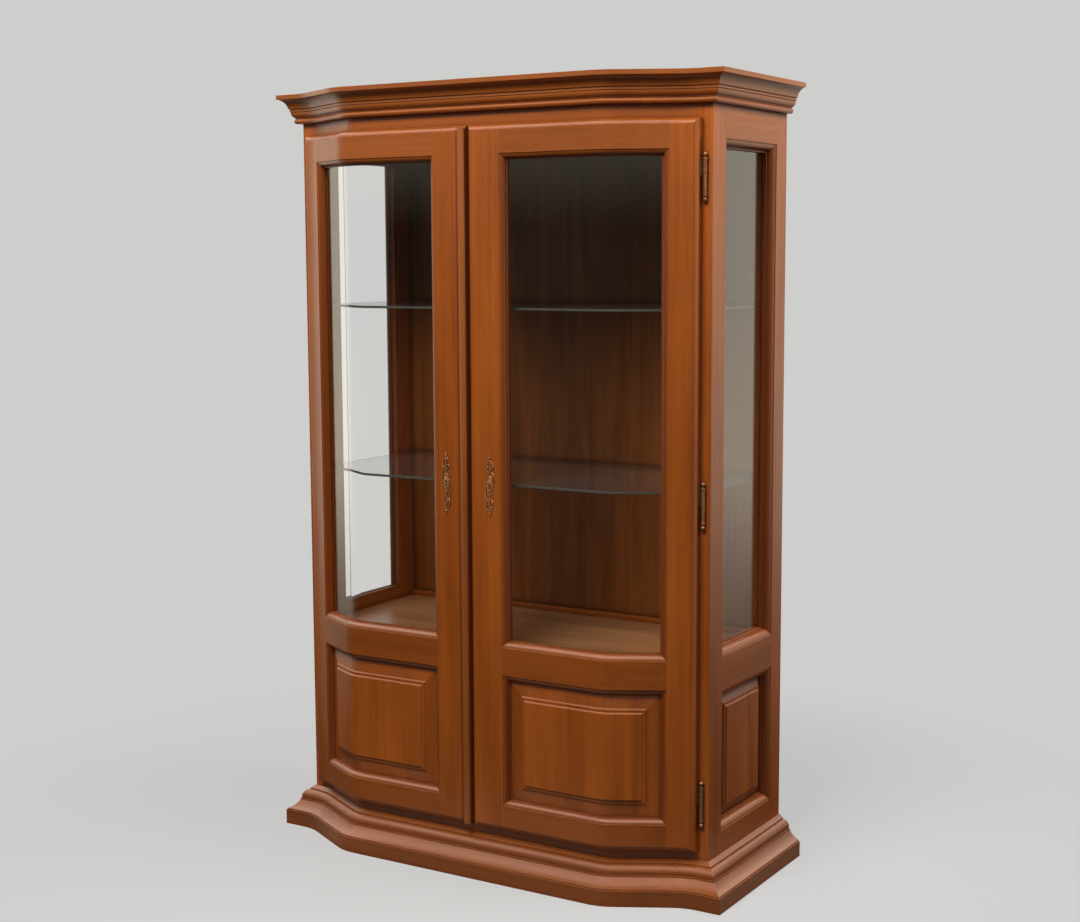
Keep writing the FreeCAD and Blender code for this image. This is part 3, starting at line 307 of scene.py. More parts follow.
class WoodFigure(EffectGroup):
    """Figure, fibres, pores and clouds of wood whose grain runs along the third coordinate."""

    name = "wood_figure"
    inputs = (("Place", "Vector"), ("Rings", "Float"))
    outputs = (("Figure", "Float"), ("Fibre", "Float"), ("Pore", "Float"), ("Cloud", "Float"))
    # Cells per metre across and along the grain, and octaves.
    contour = (5.5, 0.55, 2.0)
    ruffle = (60.0, 3.0, 2.0)
    streak = (95.0, 1.6, 4.0)
    thread = (560.0, 8.0, 2.0)
    pore = (850.0, 36.0, 1.0)
    cloud = (7.0, 1.9, 3.0)
    ruffle_share = 1.6
    thread_share = 0.4

    def fill(self, graph: Graph, given: bpy.types.NodeOutputs, result: bpy.types.NodeInputs) -> None:
        """Draws growth rings as contour lines of a stretched noise, with streaks, fibres and pores.

        Args:
            graph: the group's graph.
            given: the group's inputs.
            result: the group's outputs.
        """
        place = given["Place"]
        ring = graph.maths("MULTIPLY", graph.grained(place, *self.contour), given["Rings"])
        ruffle = graph.maths("MULTIPLY", graph.grained(place, *self.ruffle), self.ruffle_share)
        wave = graph.maths("SINE", graph.maths("ADD", ring, ruffle))
        graph.feed(result["Figure"], graph.maths("ADD", graph.maths("MULTIPLY", wave, 0.5), 0.5))
        streak = graph.maths("MULTIPLY", graph.grained(place, *self.streak), 1.0 - self.thread_share)
        thread = graph.maths("MULTIPLY", graph.grained(place, *self.thread), self.thread_share)
        graph.feed(result["Fibre"], graph.spread(graph.maths("ADD", streak, thread), 0.3, 0.7))
        graph.feed(result["Pore"], graph.spread(graph.grained(place, *self.pore), 0.62, 0.76))
        graph.feed(result["Cloud"], graph.spread(graph.grained(place, *self.cloud), 0.3, 0.7))


class EdgeWearAndShade(EffectGroup):
    """Where a surface is worn with a painted highlight on its arrises, where its quirks are darkened as
    painted shade on wood and as patina on metal, and the eased normal.
    """

    name = "edge_wear_and_shade"
    inputs = (("Patchiness", "Float"),)
    outputs = (("WearAndHighlight", "Float"), ("ShadeAndGrime", "Float"), ("Eased", "Vector"))
    ease = 0.0012
    quirk = 0.022
    turned = (0.995, 0.86)
    shut_in = (0.97, 0.38)
    patches = (26.0, 4.0, 0.65)

    def fill(self, graph: Graph, given: bpy.types.NodeOutputs, result: bpy.types.NodeInputs) -> None:
        """Compares the eased normal with the flat one, and looks for nearby surfaces.

        Args:
            graph: the group's graph.
            given: the group's inputs.
            result: the group's outputs.
        """
        eased = graph.node("Bevel", {"samples": 4}, Radius=self.ease).outputs["Normal"]
        flat = graph.node("NewGeometry").outputs["Normal"]
        turn = graph.spread(graph.vector("DOT_PRODUCT", eased, flat)["Value"], *self.turned)
        open_sky = graph.node("AmbientOcclusion", {"samples": 8}, Distance=self.quirk).outputs["AO"]
        # Ambient occlusion in the quirks: wood paints shade from it, metal a dark patina.
        shade_and_grime = graph.spread(open_sky, *self.shut_in)
        patch = graph.maths("POWER", graph.noise(graph.here(), *self.patches), given["Patchiness"])
        # Arrises turned off the flat normal and clear of the quirks: wear with a painted highlight.
        wear_and_highlight = graph.maths("MULTIPLY", turn, graph.maths("SUBTRACT", 1.0, shade_and_grime))
        graph.feed(result["WearAndHighlight"], graph.maths("MULTIPLY", wear_and_highlight, patch))
        graph.feed(result["ShadeAndGrime"], shade_and_grime)
        graph.feed(result["Eased"], eased)


class Patina(EffectGroup):
    """Uneven tarnish of cast or turned metal."""

    name = "metal_patina"
    inputs = (("Scale", "Float"),)
    outputs = (("Tarnish", "Float"), ("Pitting", "Float"))
    pits_per_cloud = 6.0

    def fill(self, graph: Graph, given: bpy.types.NodeOutputs, result: bpy.types.NodeInputs) -> None:
        """Mixes cloudy tarnish with fine pits.

        Args:
            graph: the group's graph.
            given: the group's inputs.
            result: the group's outputs.
        """
        where = graph.here()
        cloud = graph.noise(where, given["Scale"], 4.0)
        pits = graph.noise(where, graph.maths("MULTIPLY", given["Scale"], self.pits_per_cloud), 2.0)
        graph.feed(result["Tarnish"], graph.spread(cloud, 0.35, 0.68))
        graph.feed(result["Pitting"], graph.spread(pits, 0.3, 0.75))


class Recess(EffectGroup):
    """How far a place lies behind the face of its frame, inside the frame's openings."""

    outputs = (("Depth", "Float"),)
    soft = 0.004

    def inside(self, graph: Graph, value: Socket, low: float, high: float) -> Socket:
        """Is 1 between two values, with soft ends.

        Args:
            graph: the group's graph.
            value: what is tested.
            low: where the range begins.
            high: where it ends.

        Returns:
            The mask's socket.
        """
        begun = graph.spread(value, low, low + self.soft)
        return graph.maths("MULTIPLY", begun, graph.spread(value, high, high - self.soft))


class DoorRecess(Recess):
    """Depth behind the bowed face of a door: a flat middle, a bend and a slope."""

    name = "door_recess"
    bend = (0.3421, -0.1575)
    radius = 0.09
    slope = math.radians(28.5)
    openings = (0.165, 1.755)
    meeting = (0.03, 0.034)

    def fill(self, graph: Graph, given: bpy.types.NodeOutputs, result: bpy.types.NodeInputs) -> None:
        """Measures from the line that the bow's bend is drawn around.

        Args:
            graph: the group's graph.
            given: the group's inputs; not used.
            result: the group's outputs.
        """
        where = graph.axes(graph.here())
        aside = graph.maths("ABSOLUTE", where["X"])
        across = graph.maths("SUBTRACT", aside, self.bend[0])
        ahead = graph.maths("SUBTRACT", self.bend[1], where["Y"])
        turn = graph.maths("MAXIMUM", graph.maths("ARCTAN2", across, ahead), 0.0)
        turn = graph.maths("MINIMUM", turn, self.slope)
        reach = graph.maths("MULTIPLY", across, graph.maths("SINE", turn))
        reach = graph.maths("ADD", reach, graph.maths("MULTIPLY", ahead, graph.maths("COSINE", turn)))
        depth = graph.maths("SUBTRACT", self.radius, reach)
        window = self.inside(graph, where["Z"], *self.openings)
        window = graph.maths("MULTIPLY", window, graph.spread(aside, *self.meeting))
        graph.feed(result["Depth"], graph.maths("MULTIPLY", depth, window))


class SideRecess(Recess):
    """Depth behind the outer face of a side."""

    name = "side_recess"
    face = 0.577
    opening = (-0.064, 0.226)

    def fill(self, graph: Graph, given: bpy.types.NodeOutputs, result: bpy.types.NodeInputs) -> None:
        """Measures from the plane of the side.

        Args:
            graph: the group's graph.
            given: the group's inputs; not used.
            result: the group's outputs.
        """
        where = graph.axes(graph.here())
        depth = graph.maths("SUBTRACT", self.face, graph.maths("ABSOLUTE", where["X"]))
        window = self.inside(graph, where["Y"], *self.opening)
        graph.feed(result["Depth"], graph.maths("MULTIPLY", depth, window))


WOOD_FIGURE = WoodFigure()
EDGE_WEAR_AND_SHADE = EdgeWearAndShade()
PATINA = Patina()
DOOR_RECESS = DoorRecess()
SIDE_RECESS = SideRecess()


@dataclass(frozen=True)
class Finish:
    """A surface finish that makes its material once."""

    name: str

    def material(self) -> bpy.types.Material:
        """Gives the finish's material, made on first use.

        Returns:
            The material.
        """
        made = bpy.data.materials.get(self.name)
        if made is None:
            made = bpy.data.materials.new(self.name)
            made.use_nodes = True
            made.node_tree.nodes.clear()
            graph = Graph(made.node_tree)
            shader = graph.node("BsdfPrincipled")
            output = graph.node("OutputMaterial", Surface=shader.outputs[0])
            self.paint(graph, shader, output)
        return made

    def paint(self, graph: Graph, shader: bpy.types.Node, output: bpy.types.Node) -> None:
        """Fills the sockets of the finish's shader."""
        raise NotImplementedError


@dataclass(frozen=True)
class StainedWood(Finish):
    """Varnished wood with its grain along one axis."""

    grain: Grain
    pale: Colour = (0.46, 0.112, 0.013)
    deep: Colour = (0.205, 0.042, 0.0035)
    # dark colours the pores, and also fills the painted shade in quirks, recesses and seam.
    dark: Colour = (0.14, 0.026, 0.002)
    # Pale colour of worn arrises, which also serves as their painted highlight.
    wear_and_highlight: Colour = (0.72, 0.37, 0.18)
    rough: float = 0.32
    coat: float = 0.3
    shade_and_grime: float = 0.8
    rings: float = 26.0
    figure_share: float = 0.22
    shift: Triple = (0.0, 0.0, 0.0)
    recess: Optional[Recess] = None
    # Depths behind the face where the darker stain with painted shade begins, is full and ends.
    stained: Triple = (0.001, 0.004, 0.02)
    stain: float = 0.85
    seam: Optional[tuple[float, float]] = None
    fibre_share: ClassVar[float] = 0.42
    cloud_share: ClassVar[float] = 0.36
    pore_share: ClassVar[float] = 0.4
    wear_and_highlight_share: ClassVar[float] = 0.6
    seam_share: ClassVar[float] = 0.75
    stain_fade: ClassVar[float] = 0.004
    coat_rough: ClassVar[float] = 0.16

    def paint(self, graph: Graph, shader: bpy.types.Node, output: bpy.types.Node) -> None:
        """Stains the grain, paints shade into the quirks, recesses and seam, and paints wear with a
        highlight on the arrises.

        Args:
            graph: the material's graph.
            shader: its principled shader.
            output: its output node; not used.
        """
        wood = WOOD_FIGURE.use(graph, Place=self.place(graph), Rings=self.rings)
        edge = EDGE_WEAR_AND_SHADE.use(graph, Patchiness=0.8)
        tone = graph.maths("MULTIPLY", wood["Figure"], self.figure_share)
        tone = graph.maths("ADD", tone, graph.maths("MULTIPLY", wood["Fibre"], self.fibre_share))
        cloud = graph.maths("MULTIPLY", wood["Cloud"], self.cloud_share)
        tone = graph.maths("ADD", tone, cloud, clamp=True)
        colour = graph.blend(tone, self.deep, self.pale)
        colour = graph.glaze(colour, wood["Pore"], self.pore_share, self.dark)
        # Darker stain and painted shade on the mouldings and borders behind the frame's face, inside its
        # openings.
        if self.recess:
            begin, full, end = self.stained
            depth = self.recess.use(graph)["Depth"]
            past = graph.spread(depth, end, end + self.stain_fade)
            hollow = graph.maths("SUBTRACT", graph.spread(depth, begin, full), past)
            colour = graph.blend(graph.maths("MULTIPLY", hollow, self.stain, clamp=True), colour, self.dark)
        # Painted shade on the face close beside the seam with the cover strip.
        if self.seam:
            where = graph.axes(graph.here())
            away = graph.maths("ABSOLUTE", graph.maths("SUBTRACT", where["X"], self.seam[0]))
            near = graph.spread(away, self.seam[1], 0.5 * self.seam[1], 0.0, self.seam_share)
            colour = graph.blend(near, colour, self.dark)
        # Painted shade in the quirks, then wear with a painted highlight on the arrises.
        colour = graph.glaze(colour, edge["ShadeAndGrime"], self.shade_and_grime, self.dark)
        colour = graph.glaze(colour, edge["WearAndHighlight"], self.wear_and_highlight_share, self.wear_and_highlight)
        graph.feed(shader.inputs["Base Color"], colour)
        rough = graph.spread(wood["Fibre"], 0.0, 1.0, self.rough + 0.06, self.rough - 0.04)
        rough = graph.maths("ADD", rough, graph.maths("MULTIPLY", edge["ShadeAndGrime"], 0.4))
        graph.feed(shader.inputs["Roughness"], rough)
        graph.feed(shader.inputs["Coat Weight"], graph.spread(edge["ShadeAndGrime"], 0.0, 0.7, self.coat, 0.0))
        shader.inputs["Coat Roughness"].default_value = self.coat_rough
        height = graph.maths("SUBTRACT", graph.maths("MULTIPLY", wood["Fibre"], 0.4), wood["Pore"])
        bump = graph.node("Bump", Strength=0.1, Distance=0.0004, Height=height, Normal=edge["Eased"])
        graph.feed(shader.inputs["Normal"], bump.outputs[0])

    def place(self, graph: Graph) -> Socket:
        """Object coordinates with the grain's axis last.

        Args:
            graph: the material's graph.

        Returns:
            The coordinates' socket.
        """
        where = graph.axes(graph.here())
        turned = graph.node("CombineXYZ")
        for socket, axis in zip(turned.inputs, self.grain.value):
            graph.feed(socket, where[axis])
        return graph.vector("ADD", turned.outputs[0], self.shift)["Vector"]


@dataclass(frozen=True)
class ClearGlass(Finish):
    """Polished glass that lets light through to what stands behind it."""

    tint: Colour = (0.985, 0.99, 0.985)
    wave: float = 0.02
    clear: float = 1.0
    rough: tuple[float, float] = (0.0, 0.05)
    shade: Colour = (0.88, 0.88, 0.87)
    refraction: ClassVar[float] = 1.5
    film: ClassVar[Triple] = (9.0, 5.0, 0.7)
    roll: ClassVar[Triple] = (7.0, 1.5, 1.0)

    def paint(self, graph: Graph, shader: bpy.types.Node, output: bpy.types.Node) -> None:
        """Sets a clear body with a faint film and roll, and thin shadows.

        Args:
            graph: the material's graph.
            shader: its principled shader.
            output: its output node.
        """
        shader.inputs["Base Color"].default_value = (*self.tint, 1.0)
        shader.inputs["Transmission Weight"].default_value = self.clear
        shader.inputs["IOR"].default_value = self.refraction
        where = graph.here()
        film = graph.noise(where, *self.film)
        graph.feed(shader.inputs["Roughness"], graph.spread(film, 0.5, 0.85, *self.rough))
        roll = graph.grained(where, *self.roll)
        bump = graph.node("Bump", Strength=self.wave, Distance=0.002, Height=roll)
        graph.feed(shader.inputs["Normal"], bump.outputs[0])
        clear = graph.node("BsdfTransparent", Color=(*self.shade, 1.0))
        shadow = graph.node("LightPath").outputs["Is Shadow Ray"]
        graph.feed(output.inputs["Surface"], graph.choose(shadow, shader.outputs[0], clear.outputs[0]))


@dataclass(frozen=True)
class AgedMetal(Finish):
    """Brass, bronze or steel with an uneven tarnish."""

    bright: Colour
    dull: Colour
    black: Colour
    rough: float = 0.34
    scale: float = 180.0
    metallic: float = 0.6
    shade_and_grime_share: ClassVar[float] = 0.7
    wear_and_highlight_share: ClassVar[float] = 0.8

    def paint(self, graph: Graph, shader: bpy.types.Node, output: bpy.types.Node) -> None:
        """Clouds the metal, blackens its hollows and polishes its high spots.

        Args:
            graph: the material's graph.
            shader: its principled shader.
            output: its output node; not used.
        """
        spots = PATINA.use(graph, Scale=self.scale)
        edge = EDGE_WEAR_AND_SHADE.use(graph, Patchiness=0.4)
        colour = graph.blend(spots["Tarnish"], self.bright, self.dull)
        colour = graph.glaze(colour, edge["ShadeAndGrime"], self.shade_and_grime_share, self.black)
        colour = graph.glaze(colour, edge["WearAndHighlight"], self.wear_and_highlight_share, self.bright)
        graph.feed(shader.inputs["Base Color"], colour)
        shader.inputs["Metallic"].default_value = self.metallic
        rough = graph.spread(spots["Tarnish"], 0.0, 1.0, self.rough - 0.08, self.rough + 0.14)
        graph.feed(shader.inputs["Roughness"], rough)
        bump = graph.node("Bump", Strength=0.25, Distance=0.0003, Height=spots["Pitting"],
                          Normal=edge["Eased"])
        graph.feed(shader.inputs["Normal"], bump.outputs[0])


def dress(finish: Finish, nodes: Iterable[str]) -> None:
    """Gives a finish to nodes of the frame.

    Args:
        finish: the finish.
        nodes: names of the nodes that take it.
    """
    for name in nodes:
        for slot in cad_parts[name].material_slots:
            slot.material = finish.material()
        LOG.info("%s: %s", name, finish.name)


def placed(name: str, data: bpy.types.ID) -> bpy.types.Object:
    """Puts a new object into the scene.

    Args:
        name: the object's name.
        data: its mesh, lamp or camera.

    Returns:
        The object.
    """
    made = bpy.data.objects.new(name, data)
    bpy.context.scene.collection.objects.link(made)
    return made


def sided(*stems: str) -> list[str]:
    """Names of the left and right nodes of some stems."""
    return [f"{stem}_{side}" for stem in stems for side in ("left", "right")]


@dataclass
class Carcass:
    """Plinth, cornice, posts, rails, boards and sides."""

    upright: StainedWood = StainedWood("wood_carcass_upright", Grain.UPRIGHT, coat=0.1, recess=SIDE_RECESS)
    cross: StainedWood = StainedWood("wood_carcass_cross", Grain.ACROSS, pale=(0.37, 0.095, 0.014),
                                     deep=(0.185, 0.042, 0.005))
    deep: StainedWood = replace(cross, name="wood_carcass_deep", grain=Grain.DEEP, coat=0.1,
                                shift=(0.3, 0.0, 0.0))
    # The plinth's wood is a darker copy of the carcass wood, which paints shade into the plinth.
    foot: StainedWood = StainedWood("wood_plinth_front", Grain.ACROSS, pale=(0.30, 0.078, 0.012),
                                    deep=(0.155, 0.036, 0.004), rough=0.38, coat=0.05,
                                    shift=(0.0, 0.4, 0.2))
    foot_end: StainedWood = replace(foot, name="wood_plinth_end", grain=Grain.DEEP, shift=(0.2, 0.4, 0.0))
    side: StainedWood = StainedWood("wood_side_rail", Grain.DEEP, coat=0.1, shift=(0.1, 0.2, 0.0),
                                    recess=SIDE_RECESS, stain=0.3)
    panel: StainedWood = StainedWood("wood_side_panel", Grain.UPRIGHT, coat=0.1, figure_share=0.34,
                                     shift=(0.7, 0.2, 0.1), recess=SIDE_RECESS,
                                     stained=(0.0115, 0.017, 0.06), stain=0.6)
    top: StainedWood = StainedWood("wood_top_board", Grain.ACROSS, pale=(0.20, 0.062, 0.014),
                                   deep=(0.10, 0.03, 0.006), rough=0.6, coat=0.0, shift=(0.3, 0.1, 0.6))
    inside: StainedWood = StainedWood("wood_inside_boards", Grain.ACROSS, shift=(0.1, 0.5, 0.0), coat=0.15)
    deck: StainedWood = StainedWood("wood_deck", Grain.ACROSS, pale=(0.42, 0.19, 0.082),
                                    deep=(0.22, 0.086, 0.034), shift=(0.1, 0.5, 0.2), coat=0.2,
                                    figure_share=0.32)
    back: StainedWood = StainedWood("wood_back", Grain.UPRIGHT, pale=(0.27, 0.076, 0.011),
                                    deep=(0.095, 0.024, 0.003), dark=(0.03, 0.008, 0.002),
                                    rough=0.5, coat=0.1, rings=40.0, figure_share=0.3, shift=(0.2, 0.0, 0.3))

    def build(self) -> None:
        """Dresses every wooden node of the cabinet's fixed body."""
        dress(self.upright, sided("post", "rear_stile"))
        dress(self.cross, ["cornice_front", "frieze_rail", "bottom_rail"])
        dress(self.deep, sided("cornice") + ["side_glass_beads"])
        dress(self.foot, ["plinth_front"])
        dress(self.foot_end, sided("plinth"))
        dress(self.side, sided("side_top_rail", "side_middle_rail", "side_bottom_rail"))
        dress(self.panel, sided("side_panel"))
        dress(self.top, ["top_board"])
        dress(self.inside, ["base_board", "back_skirting"])
        dress(self.deck, ["deck_board"])
        dress(self.back, ["back_panel"])


@dataclass
class Glazing:
    """Side panes, bent door panes and glass shelves."""

    pane: ClearGlass = ClearGlass("glass_pane")
    shelf: ClearGlass = ClearGlass("glass_shelf", tint=(0.955, 0.965, 0.94), wave=0.008, clear=0.985,
                                   shade=(0.93, 0.95, 0.94))
    ground: ClearGlass = ClearGlass("glass_ground_edge", tint=(0.2, 0.19, 0.16), wave=0.0, clear=0.6,
                                    rough=(0.6, 0.75), shade=(0.8, 0.84, 0.82))
    arris: float = 0.0009
    weld: float = 0.02 * MILLIMETRE
    flat_turn: float = math.radians(0.5)
    sharp_turn: float = math.radians(60.0)
    level: float = 0.95

    def build(self) -> None:
        """Dresses the panes and grinds the shelves."""
        dress(self.pane, sided("side_glass") + [name for side in Side for name in side.nodes("glass")])
        for name in ("lower_shelf", "upper_shelf"):
            dress(self.shelf, [name])
            self.grind(name)

    def grind(self, name: str) -> None:
        """Makes a shelf with eased arrises and ground edges in place of a plain one.

        Args:
            name: the shelf's node.
        """
        shape = bmesh.new()
        shape.from_mesh(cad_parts[name].data)
        bmesh.ops.remove_doubles(shape, verts=shape.verts, dist=self.weld)
        bmesh.ops.dissolve_limit(shape, angle_limit=self.flat_turn, verts=shape.verts, edges=shape.edges)
        sharp = [edge for edge in shape.edges
                 if edge.is_manifold and edge.calc_face_angle() > self.sharp_turn
                 and any(abs(face.normal.z) > self.level for face in edge.link_faces)]
        bmesh.ops.bevel(shape, geom=sharp, offset=self.arris, segments=2, profile=0.5, affect="EDGES")
        for face in shape.faces:
            face.material_index = int(abs(face.normal.z) < self.level)
        mesh = bpy.data.meshes.new(f"{name}_ground")
        shape.to_mesh(mesh)
        shape.free()
        for finish in (self.shelf, self.ground):
            mesh.materials.append(finish.material())
        piece = placed(mesh.name, mesh)
        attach(piece, "cabinet")
        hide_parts(name)
        LOG.info("%s: %d faces", piece.name, len(mesh.polygons))


@dataclass
class Doors:
    """Frames and panels of both doors."""

    # On the cover strip the dark colour is lighter and redder and the quirk share lower, so its painted
    # shade stays lighter than on other wood.
    cover: StainedWood = StainedWood("wood_cover_strip", Grain.UPRIGHT, pale=(0.38, 0.105, 0.02),
                                     deep=(0.19, 0.048, 0.007), dark=(0.27, 0.032, 0.001), shade_and_grime=0.75,
                                     shift=(0.5, 0.0, 0.1))
    stile: StainedWood = StainedWood("wood_door_stile", Grain.UPRIGHT, shift=(0.13, 0.0, 0.4),
                                     recess=DOOR_RECESS)
    rail: StainedWood = StainedWood("wood_door_rail", Grain.ACROSS, pale=(0.355, 0.088, 0.012),
                                    deep=(0.185, 0.04, 0.004), shift=(0.0, 0.21, 0.3),
                                    recess=DOOR_RECESS, stain=0.3)
    panel: StainedWood = StainedWood("wood_door_panel", Grain.UPRIGHT, figure_share=0.34,
                                     shift=(0.4, 0.1, 0.0), recess=DOOR_RECESS,
                                     stained=(0.005, 0.008, 0.06), stain=0.2)
    # Width of the painted shade along the seam beside the cover strip.
    seam_width: float = 0.007

    def build(self) -> None:
        """Dresses the wooden nodes of both doors."""
        seam = (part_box("left_door_astragal")[0][0] - 0.4 * self.seam_width, self.seam_width)
        for side in Side:
            dress(self.stile, side.nodes("hinge_stile", "glass_beads"))
            dress(self.rail, side.nodes("top_rail", "middle_rail", "bottom_rail"))
            dress(self.panel, side.nodes("panel"))
        dress(replace(self.stile, name="wood_stile_seam_shade", seam=seam), Side.LEFT.nodes("meeting_stile"))
        dress(self.stile, Side.RIGHT.nodes("meeting_stile"))
        dress(replace(self.cover, seam=seam), Side.LEFT.nodes("astragal"))


class Relief:
    """Cast low relief in millimetres: across and up in the plate's plane, and height over its back."""

    facets = 12
    lift = 0.75
    dome_rings = 6
    dome_span = 5.4
    crease = math.radians(48.0)

    def __init__(self) -> None:
        """Starts an empty relief."""
        self.shape = bmesh.new()

    def turns(self) -> list[float]:
        """Angles of the facets around a round form."""
        return [2.0 * math.pi * step / self.facets for step in range(self.facets)]

    def skin(self, loops: Sequence[Loop], ring: bool = False) -> None:
        """Joins closed loops of equally many points.

        Args:
            loops: the loops, in order.
            ring: joins the last loop to the first instead of capping both.
        """
        rows = [[self.shape.verts.new(point) for point in loop] for loop in loops]
        pairs = list(zip(rows, rows[1:])) + ([(rows[-1], rows[0])] if ring else [])
        for first, second in pairs:
            for here in range(len(first)):
                there = (here + 1) % len(first)
                self.shape.faces.new((first[here], first[there], second[there], second[here]))
        if not ring:
            self.shape.faces.new(rows[0])
            self.shape.faces.new(rows[-1])

    def scroll(self, path: Sequence[Flat], thin: float, thick: float) -> None:
        """Lays a rounded strand along a smooth path.

        Args:
            path: points that the strand runs through.
            thin: half width at its ends.
            thick: half width in its middle.
        """
        points = self.smooth(path)
        loops: list[Loop] = []
        for index, (across, up) in enumerate(points):
            before, after = points[max(index - 1, 0)], points[min(index + 1, len(points) - 1)]
            along = Vector((after[0] - before[0], after[1] - before[1])).normalized()
            swell = math.sin(math.pi * index / (len(points) - 1))
            half = thin + (thick - thin) * swell
            loop: Loop = []
            for angle in self.turns():
                out = half * math.cos(angle)
                height = max(0.0, half * (self.lift + math.sin(angle)))
                loop.append((across - along.y * out, up + along.x * out, height))
            loops.append(loop)
        self.skin(loops)

    @staticmethod
    def smooth(path: Sequence[Flat], steps: int = 6) -> list[Flat]:
        """Runs an even curve through points.

        Args:
            path: the points.
            steps: parts of each span.

        Returns:
            The curve's points.
        """
        ends = [path[0], *path, path[-1]]
        curve: list[Flat] = []
        for first, second, third, fourth in zip(ends, ends[1:], ends[2:], ends[3:]):
            for step in range(steps):
                t = step / steps
                weights = (-t + 2 * t ** 2 - t ** 3, 2 - 5 * t ** 2 + 3 * t ** 3,
                           t + 4 * t ** 2 - 3 * t ** 3, t ** 3 - t ** 2)
                spans = list(zip(weights, (first, second, third, fourth)))
                curve.append(tuple(0.5 * sum(weight * point[axis] for weight, point in spans)
                                   for axis in (0, 1)))
        return curve + [path[-1]]

    def boss(self, centre: Flat, wide: float, long: float, height: float) -> None:
        """Raises an oval dome.

        Args:
            centre: its middle.
            wide: half its width.
            long: half its length.
            height: its height over the back.
        """
        loops: list[Loop] = []
        for rise in range(self.dome_rings):
            tilt = 0.5 * math.pi * rise / self.dome_span
            loops.append([(centre[0] + wide * math.cos(tilt) * math.cos(turn),
                           centre[1] + long * math.cos(tilt) * math.sin(turn), height * math.sin(tilt))
                          for turn in self.turns()])
        self.skin(loops)

    def cartouche(self, wide: float, long: float, sections: Sequence[Flat], hole: Sequence[Flat]) -> None:
        """Raises an oval shield that is pierced by a hole.

        Args:
            wide: half its width.
            long: half its length.
            sections: share of the oval and height, from the rim to the hole.
            hole: the hole's outline.
        """
        loops: list[Loop] = []
        for share, height in sections:
            loop: Loop = []
            for across, up in hole:
                turn = math.atan2(up * wide, across * long)
                oval = (wide * math.cos(turn), long * math.sin(turn))
                loop.append((across + (oval[0] - across) * share, up + (oval[1] - up) * share, height))
            loops.append(loop)
        self.skin(loops, ring=True)

    @staticmethod
    def turned(path: Sequence[Flat]) -> list[Flat]:
        """The same path, turned half round."""
        return [(-across, -up) for across, up in path]

    def mesh(self, name: str, place: Vector, sign: float) -> bpy.types.Mesh:
        """Moves the relief to the face of a door.

        Args:
            name: the mesh's name.
            place: where the middle of its back lies.
            sign: mirrors the relief where it is negative.

        Returns:
            The finished mesh.
        """
        for vertex in self.shape.verts:
            across, up, height = vertex.co
            vertex.co = place + Vector((sign * across, -height, up)) * MILLIMETRE
        bmesh.ops.recalc_face_normals(self.shape, faces=self.shape.faces)
        made = bpy.data.meshes.new(name)
        self.shape.to_mesh(made)
        self.shape.free()
        made.shade_smooth()
        made.set_sharp_from_angle(angle=self.crease)
        return made


